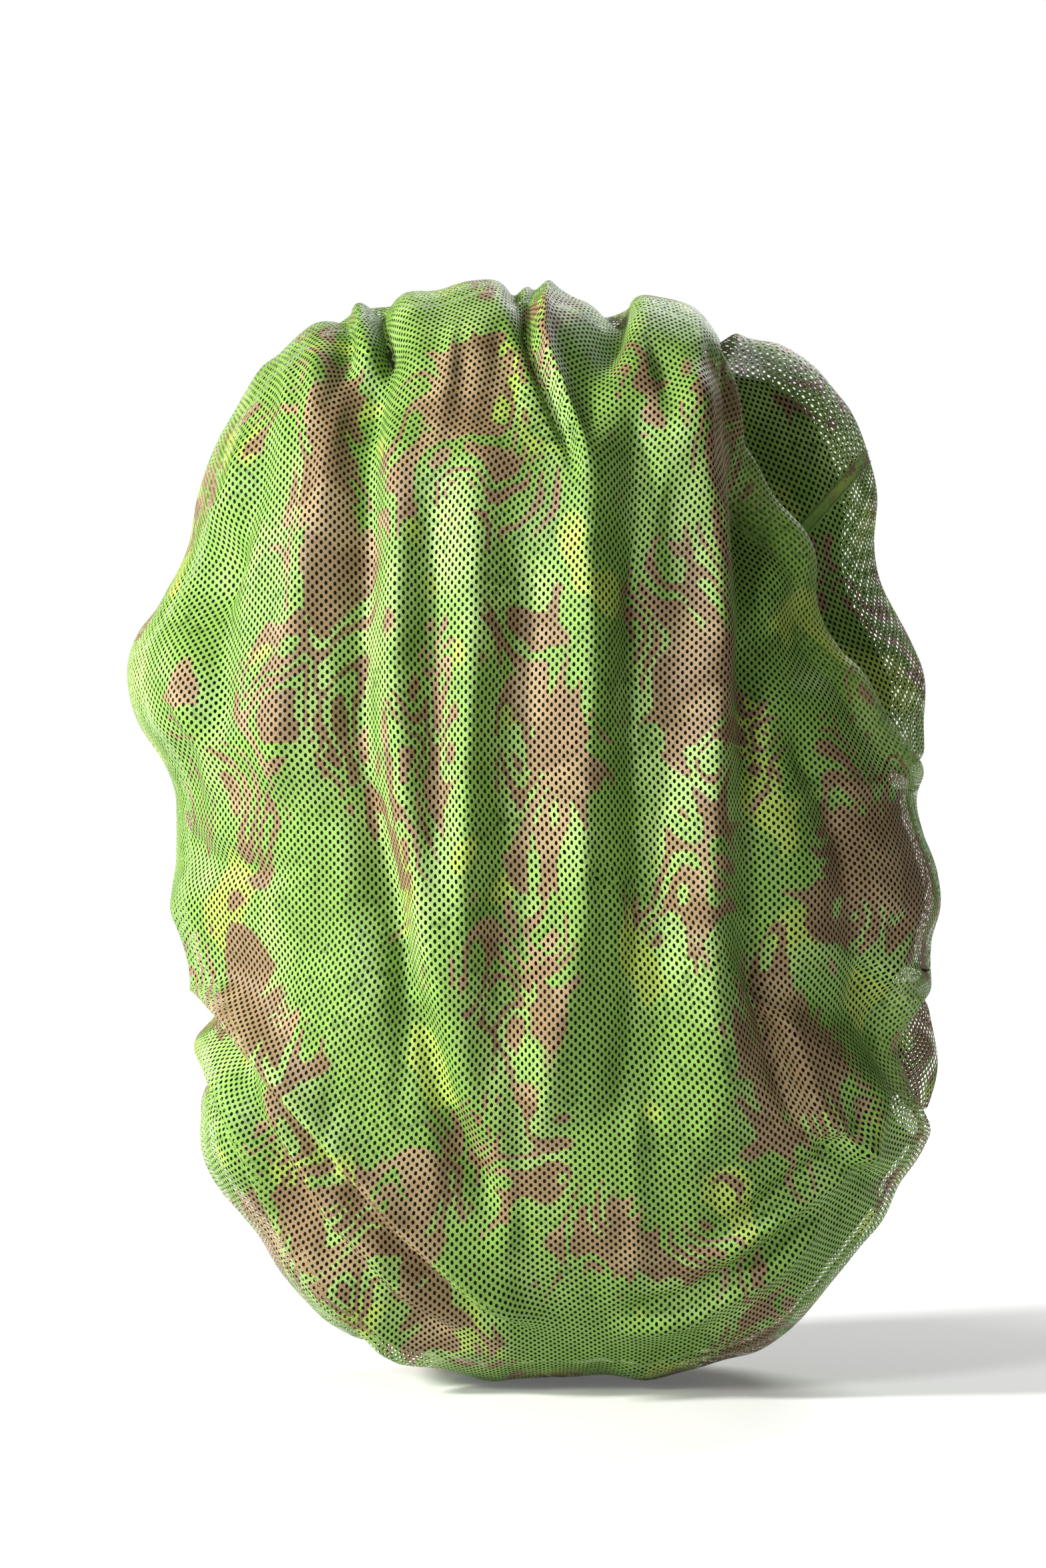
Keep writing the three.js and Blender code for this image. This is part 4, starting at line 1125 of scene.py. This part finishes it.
class COVER_OT_stage(bpy.types.Operator):
    """Sets the camera, the lights, the floor and the filled form inside the cover"""

    bl_idname = "cover.stage"
    bl_label = "Set the stage"

    def execute(self, context):
        stage = context.scene.cover_stage
        scene = context.scene
        scene.view_settings.view_transform = "Standard"
        camera = bpy.data.cameras.new("camera")
        camera.lens = stage.lens
        camera.sensor_width = SENSOR_WIDTH
        seat = bpy.data.objects.new("camera", camera)
        seat.location = (CAMERA_X, -stage.distance, stage.height)
        seat.rotation_euler = (np.pi / 2, 0, 0)
        scene.collection.objects.link(seat)
        scene.camera = seat
        self.sky(scene, stage)
        lamps = (
            ("key", (-2.9, -1.35, 1.75), 0.6, stage.key, (1, 0.98, 0.95)),
            ("front", (-1.8, -2.7, 1.5), 0.7, stage.key * 0.3, (1, 1, 1)),
            ("rim", (1.2, 2.4, 2.4), 1.4, stage.key * 0.35, (1, 1, 1)),
        )
        for name, place, width, power, tint in lamps:
            lamp = bpy.data.lights.new(name, "AREA")
            lamp.shape = "DISK"
            lamp.size, lamp.energy, lamp.color = width, power, tint
            holder = bpy.data.objects.new(name, lamp)
            holder.location = place
            aim = Vector((0, 0, 0.37)) - Vector(place)
            holder.rotation_euler = aim.to_track_quat("-Z", "Y").to_euler()
            scene.collection.objects.link(holder)
        n = 24
        angle = np.arange(n) / n * 2 * np.pi
        rings = [np.stack([r * np.cos(angle), r * np.sin(angle), 0 * angle], 1) for r in FLOOR_RINGS]
        points = np.concatenate([[(0, 0, 0)], *rings])
        faces = [(0, 1 + i, 1 + (i + 1) % n) for i in range(n)]
        for k in (0, 1):
            at = 1 + k * n
            faces += [(at + i, at + n + i, at + n + (i + 1) % n, at + (i + 1) % n) for i in range(n)]
        floor = new_object("floor", [tuple(p) for p in points], faces)
        material, tree, shader = new_material("floor_paper", 0.8)
        paper = speckle(tree, own_place(tree), 3.0)
        floor_tone = tuple(stage.floor)
        tone = blend_colour(tree, paper, tuple(c * 0.97 for c in floor_tone), floor_tone)
        tree.links.new(tone, shader.inputs["Base Color"])
        place = own_place(tree)
        reach = put(tree, "ShaderNodeVectorMath", place, operation="LENGTH").outputs[1]
        glow = put(tree, "ShaderNodeMapRange", reach, 0.45, 1.5, 0.12, 1.0).outputs[0]
        seen = put(tree, "ShaderNodeLightPath").outputs["Is Camera Ray"]
        glow = maths(tree, "MULTIPLY", glow, seen)
        fill(tree, shader, {"Emission Color": (1, 1, 1, 1), "Emission Strength": glow})
        floor.data.materials.append(material)
        self.form()
        return {"FINISHED"}

    def sky(self, scene, stage):
        world = bpy.data.worlds.new("studio")
        world.use_nodes = True
        scene.world = world
        tree = world.node_tree
        light = tree.nodes["Background"]
        fill(tree, light, {"Color": (1, 1, 1, 1), "Strength": stage.sky})
        seen = put(tree, "ShaderNodeBackground", (1, 1, 1, 1), 1.0)
        path = put(tree, "ShaderNodeLightPath").outputs["Is Camera Ray"]
        mixed = put(tree, "ShaderNodeMixShader", path, light.outputs[0], seen.outputs[0])
        tree.links.new(mixed.outputs[0], tree.nodes["World Output"].inputs[0])

    def form(self):
        """A plain filled form holds the cloth out, as a shop's display form does. Its near-black colour is
        painted shade: the shade inside the cover over the dark pack, seen through the holes.
        """
        shell = current_shell()
        tight = filled_shape(shell.turn, shell.station, True)
        normals = normals_of(tight, shell.quads)
        under_folds, under_bulge = 0.011, 0.014
        near, far = 0.016, 0.030
        folded = shell.points - normals * under_folds
        inner = tight - normals * under_bulge
        same = smooth(np.linalg.norm(shell.points - tight, axis=1), far, near)
        points = inner + same[:, None] * (folded - inner)
        points[:, 1] = np.minimum(points[:, 1], HARNESS_Y - 0.02)
        points[:, 2] = np.maximum(points[:, 2], 0.006)
        form = new_object("display_form", points, shell.quads)
        material, tree, shader = new_material("form_cloth", 0.85)
        place = own_place(tree)
        # Near-black with a faint speckle: painted shade inside the cover, over the dark pack.
        tone = blend_colour(tree, speckle(tree, place, 40.0), (0.012, 0.016, 0.008), (0.02, 0.026, 0.012))
        tree.links.new(tone, shader.inputs["Base Color"])
        fill(tree, shader, {"Specular IOR Level": 0.1})
        form.data.materials.append(material)


class COVER_OT_cloth(bpy.types.Operator):
    """Cuts, perforates and prints the face, the walls and the turn-in"""

    bl_idname = "cover.cloth"
    bl_label = "Sew the cloth"

    def execute(self, context):
        cloth = context.scene.cover_cloth
        material = camouflage(cloth)
        pieces = cloth_pieces(current_shell(), cloth, material)
        for name, obj in pieces.items():
            node = name.replace("_cloth", "")
            nodes = ["face_panel"] if node.startswith("face") else [node]
            finish_piece(obj, material, "cover", nodes)
            flat = read(obj.data.uv_layers["cut"].data, "uv", 2)
            wide, tall = flat.max(0) - flat.min(0)
            tiles = len(obj.data.loops) / TILE_CORNERS
            hole = np.sqrt(0.5) * cloth.hole_width * cloth.hole_height
            area = tiles * (cloth.hole_pitch * cloth.hole_row - hole)
            size = (area / WALL_FULL, WALL_CUT) if node in WALLS else (wide, tall)
            area = float(np.clip(area, LEAST_SHARE * size[0] * size[1], size[0] * size[1]))
        return {"FINISHED"}


class COVER_OT_seams(bpy.types.Operator):
    """Lays tape over the seams behind the widest section"""

    bl_idname = "cover.seams"
    bl_label = "Tape the seams"

    def execute(self, context):
        shell, cloth, trim = current_shell(), context.scene.cover_cloth, context.scene.cover_trim
        tape = camouflage(cloth)
        thread = thread_material(trim)
        lines, rows = [], {"seam_tape_round": (shell.ring[0], True)}
        columns = wall_of(np.degrees(shell.turn[shell.ring[0]] + np.pi / len(shell.ring[0])))
        new_wall = columns != np.roll(columns, 1)
        starts = {k: int(np.flatnonzero((columns == k) & new_wall)[0]) for k in range(4)}
        for k, corner in enumerate(("lower_right", "upper_right", "upper_left", "lower_left")):
            rows["seam_tape_" + corner] = (shell.ring[:, starts[k]], False)
        for name, (ids, closed) in rows.items():
            points, normals = shell.points[ids], shell.normals[ids]
            inside = points - TAPE_SINK * normals
            obj = ribbon(name, inside, normals, cloth.tape_width, TAPE_THICKNESS, closed)
            set_uv_from(obj, "cut", "weave")
            finish_piece(obj, tape, "cover")
            line = np.r_[points, points[:1]] if closed else points
            up = np.r_[normals, normals[:1]] if closed else normals
            along = np.gradient(line, axis=0)
            across = np.cross(along, up)
            across /= np.linalg.norm(across, axis=1, keepdims=True)
            for side in (-1, 1):
                lines.append(line + side * 0.36 * cloth.tape_width * across + 0.0003 * up)
        stitched("seam_stitches", lines, trim, thread)
        return {"FINISHED"}


def casing_point(angle):
    x, z = CASING_HALF_WIDTH * np.sin(angle), HALF_HEIGHT - CASING_HALF_HEIGHT * np.cos(angle)
    return np.stack([x, np.full_like(x, CASING_Y), z], -1)


EXIT_ANGLE = float(np.arcsin(EXIT_HALF_GAP / CASING_HALF_WIDTH))


class COVER_OT_hem(bpy.types.Operator):
    """Makes the gathered casing round the mouth"""

    bl_idname = "cover.hem"
    bl_label = "Gather the hem"

    def execute(self, context):
        trim = context.scene.cover_trim
        count, sides = 1100, 20
        angle = np.linspace(EXIT_ANGLE, 2 * np.pi - EXIT_ANGLE, count)
        path = casing_point(angle)
        rng = np.random.default_rng(5)
        around = np.arange(sides) / sides * 2 * np.pi
        ruffle = np.zeros((count, sides))
        for pleats in (118, 163, 211, 240):
            sway, lean = rng.uniform(0, 2 * np.pi, 2)
            ruffle += np.cos(pleats * angle[:, None] + sway + 0.8 * np.sin(around[None] + lean))
        ruffle *= RUFFLE_HEIGHT
        wide, deep = CASING_RADIUS
        obj = tube("hem_casing_gathered", path, wide + ruffle, deep + 0.7 * ruffle, sides)
        material = woven("hem_cloth", tuple(trim.hem), 0.0009, 0.8)
        finish_piece(obj, material, "cover", ["hem_casing"])
        lines = []
        for side in (-1, 1):
            line = path.copy()
            line[:, 0] += side * HEM_STITCH[0] * np.sin(angle)
            line[:, 2] -= side * HEM_STITCH[0] * np.cos(angle)
            line[:, 1] += HEM_STITCH[1]
            lines.append(line[::3])
        stitched("hem_stitches", lines, trim, thread_material(trim))
        return {"FINISHED"}


def bezier(points, count):
    t = np.linspace(0, 1, count)[:, None]
    p = np.array(points, float)
    return (1 - t) ** 3 * p[0] + 3 * (1 - t) ** 2 * t * p[1] + 3 * (1 - t) * t**2 * p[2] + t**3 * p[3]


class COVER_OT_drawcord(bpy.types.Operator):
    """Threads the drawcord through the casing, the lock and the cord end"""

    bl_idname = "cover.drawcord"
    bl_label = "Thread the drawcord"

    def execute(self, context):
        trim = context.scene.cover_trim
        casing_z = HALF_HEIGHT - CASING_HALF_HEIGHT
        strands = []
        for side in (1, -1):
            y = LOCK_Y + side * STRAND_OFFSET
            top = (0, y, LOCK_Z + LOCK_TOP)
            entry = casing_point(np.array(side * EXIT_ANGLE))
            rise = (0, y + 0.001, casing_z + 0.004)
            turn_in = (side * 0.012, HARNESS_Y + 0.0015, casing_z + 0.001)
            bend = bezier([top, rise, turn_in, entry], 30)
            straight = np.linspace((0, y, CORD_END_TOP - CORD_END_DEPTH), top, 24)[:-1]
            strands.append(np.r_[straight, bend])
        inside = casing_point(np.linspace(EXIT_ANGLE, 2 * np.pi - EXIT_ANGLE, 260)[1:-1])
        path = np.r_[strands[0], inside, strands[1][::-1]]
        obj = tube("drawcord_braid", path, CORD_RADIUS, CORD_RADIUS, 14)
        material = braided("cord_braid", tuple(trim.cord), tuple(trim.fleck), 0.0042)
        finish_piece(obj, material, "cover", ["drawcord"])
        return {"FINISHED"}


SAME_POINT = 1e-6
FLAT_ANGLE = 0.02  # faces that meet at less than this become one
ROUNDED_ANGLE = 0.6
SHARP_ANGLE = 0.7


def refined(node, body, material, bevel, name):
    """A copy of a CAD node with its doubles merged and its edges rounded, which stands for it."""
    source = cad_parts[node]
    mesh = source.data.copy()
    made = bmesh.new()
    made.from_mesh(mesh)
    bmesh.ops.remove_doubles(made, verts=made.verts, dist=SAME_POINT)
    bmesh.ops.dissolve_limit(made, angle_limit=FLAT_ANGLE, verts=made.verts, edges=made.edges)
    made.to_mesh(mesh)
    made.free()
    mesh.name = name
    obj = bpy.data.objects.new(name, mesh)
    bpy.context.scene.collection.objects.link(obj)
    rounding = obj.modifiers.new("rounding", "BEVEL")
    rounding.width, rounding.segments = bevel, 2
    rounding.limit_method, rounding.angle_limit = "ANGLE", ROUNDED_ANGLE
    rounding.harden_normals = False
    applied(obj)
    for attribute in ("sharp_edge", "sharp_face"):
        found = obj.data.attributes.get(attribute)
        if found:
            obj.data.attributes.remove(found)
    obj.data.polygons.foreach_set("use_smooth", np.ones(len(obj.data.polygons), bool))
    obj.data.set_sharp_from_angle(angle=SHARP_ANGLE)
    return finish_piece(obj, material, body, [node])


def strip_metres(obj):
    """Gives a strap or patch metres along X and across Z as its weave coordinates."""
    points = read(obj.data.vertices, "co", 3)
    set_uv(obj.data, "weave", points[:, [0, 2]])


class COVER_OT_lock(bpy.types.Operator):
    """Finishes the cord lock, its plunger and spring, and the cord end"""

    bl_idname = "cover.lock"
    bl_label = "Fit the cord lock"

    def execute(self, context):
        plastic = moulded("lock_plastic", tuple(context.scene.cover_trim.plastic))
        refined("cord_lock_body", "cord_lock", plastic, 0.0004, "lock_body")
        refined("cord_lock_plunger", "plunger", plastic, 0.0003, "lock_plunger")
        refined("cord_end", "cover", plastic, 0.0005, "cord_end_cap")
        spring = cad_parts["cord_lock_spring"]
        spring.data.materials.clear()
        spring.data.materials.append(drawn_steel())
        return {"FINISHED"}


class COVER_OT_buckle(bpy.types.Operator):
    """Finishes the side-release buckle"""

    bl_idname = "cover.buckle"
    bl_label = "Mould the buckle"

    def execute(self, context):
        plastic = moulded("buckle_plastic", tuple(context.scene.cover_trim.plastic))
        refined("buckle_housing", "cover", plastic, 0.0005, "buckle_shell")
        refined("buckle_tongue", "cover", plastic, 0.0004, "buckle_frame")
        refined("buckle_arm_upper", "arm_upper", plastic, 0.0004, "upper_arm")
        refined("buckle_arm_lower", "arm_lower", plastic, 0.0004, "lower_arm")
        return {"FINISHED"}


def box_stitch(low, high, y, crossed=True):
    """Lines of a box stitch in the harness plane."""
    (x0, z0), (x1, z1) = low, high
    corners = [(x0, z0), (x1, z0), (x1, z1), (x0, z1), (x0, z0)]
    lines = [[(x, y, z) for x, z in corners]]
    if crossed:
        lines += [[(x0, y, z0), (x1, y, z1)], [(x0, y, z1), (x1, y, z0)]]
    return lines


class COVER_OT_straps(bpy.types.Operator):
    """Weaves the patches, the straps and the keeper, and sews them down"""

    bl_idname = "cover.straps"
    bl_label = "Weave the straps"

    def execute(self, context):
        trim = context.scene.cover_trim
        webbing = woven("webbing", tuple(trim.webbing), 0.0016)
        elastic = woven("elastic_band", tuple(trim.elastic), 0.0008)
        patches = ("exit_patch", "left_anchor_patch", "right_anchor_patch")
        for node in (*patches, "fixed_strap", "adjustable_strap"):
            strip_metres(refined(node, "cover", webbing, 0.00045, node + "_woven"))
        strip_metres(refined("strap_keeper", "keeper", elastic, 0.0004, "keeper_band"))
        lines = []
        for node in patches:
            low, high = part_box(node)
            inset = PATCH_STITCH_INSET
            corner = (low.x + inset, low.z + inset), (high.x - inset, high.z - inset)
            rise = UNDER_LOCK_RISE if node == "exit_patch" else PATCH_STITCH_RISE
            lines += box_stitch(*corner, high.y + rise, False)
        for node, side in (("fixed_strap", -1), ("adjustable_strap", 1)):
            low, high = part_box(node)
            patch_low, patch_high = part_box("left_anchor_patch" if side < 0 else "right_anchor_patch")
            y = patch_high.y + STRAP_STITCH_RISE
            inset = STRAP_STITCH_INSET
            x0 = low.x + inset if side < 0 else patch_low.x + inset
            x1 = patch_high.x - inset if side < 0 else high.x - inset
            lines += box_stitch((x0, low.z + inset), (x1, high.z - inset), y)
        stitched("strap_stitches", lines, trim, thread_material(trim))
        return {"FINISHED"}


class COVER_PT_panel(bpy.types.Panel):
    """Sizes, colours and steps of the cover"""

    bl_label = "Mesh Rucksack Cover"
    bl_idname = "COVER_PT_panel"
    bl_space_type = "VIEW_3D"
    bl_region_type = "UI"
    bl_category = "Pack Cover"

    def draw(self, context):
        for group in (context.scene.cover_cloth, context.scene.cover_trim, context.scene.cover_stage):
            box = self.layout.box()
            for name in group.__annotations__:
                box.prop(group, name)
        for operator in OPERATORS:
            self.layout.operator(operator.bl_idname)


SETTINGS = {"cover_cloth": ClothSettings, "cover_trim": TrimSettings, "cover_stage": StageSettings}
OPERATORS = [
    COVER_OT_stage,
    COVER_OT_cloth,
    COVER_OT_seams,
    COVER_OT_hem,
    COVER_OT_drawcord,
    COVER_OT_lock,
    COVER_OT_buckle,
    COVER_OT_straps,
]


def register():
    for group in SETTINGS.values():
        bpy.utils.register_class(group)
    for name, group in SETTINGS.items():
        setattr(bpy.types.Scene, name, PointerProperty(type=group))
    for shown in [*OPERATORS, COVER_PT_panel]:
        bpy.utils.register_class(shown)


def unregister():
    for shown in [COVER_PT_panel, *reversed(OPERATORS)]:
        bpy.utils.unregister_class(shown)
    for name in SETTINGS:
        delattr(bpy.types.Scene, name)
    for group in SETTINGS.values():
        bpy.utils.unregister_class(group)


def main():
    register()
    bpy.ops.cover.stage()
    bpy.ops.cover.cloth()
    bpy.ops.cover.seams()
    bpy.ops.cover.hem()
    bpy.ops.cover.drawcord()
    bpy.ops.cover.lock()
    bpy.ops.cover.buckle()
    bpy.ops.cover.straps()


if __name__ == "__main__":
    main()
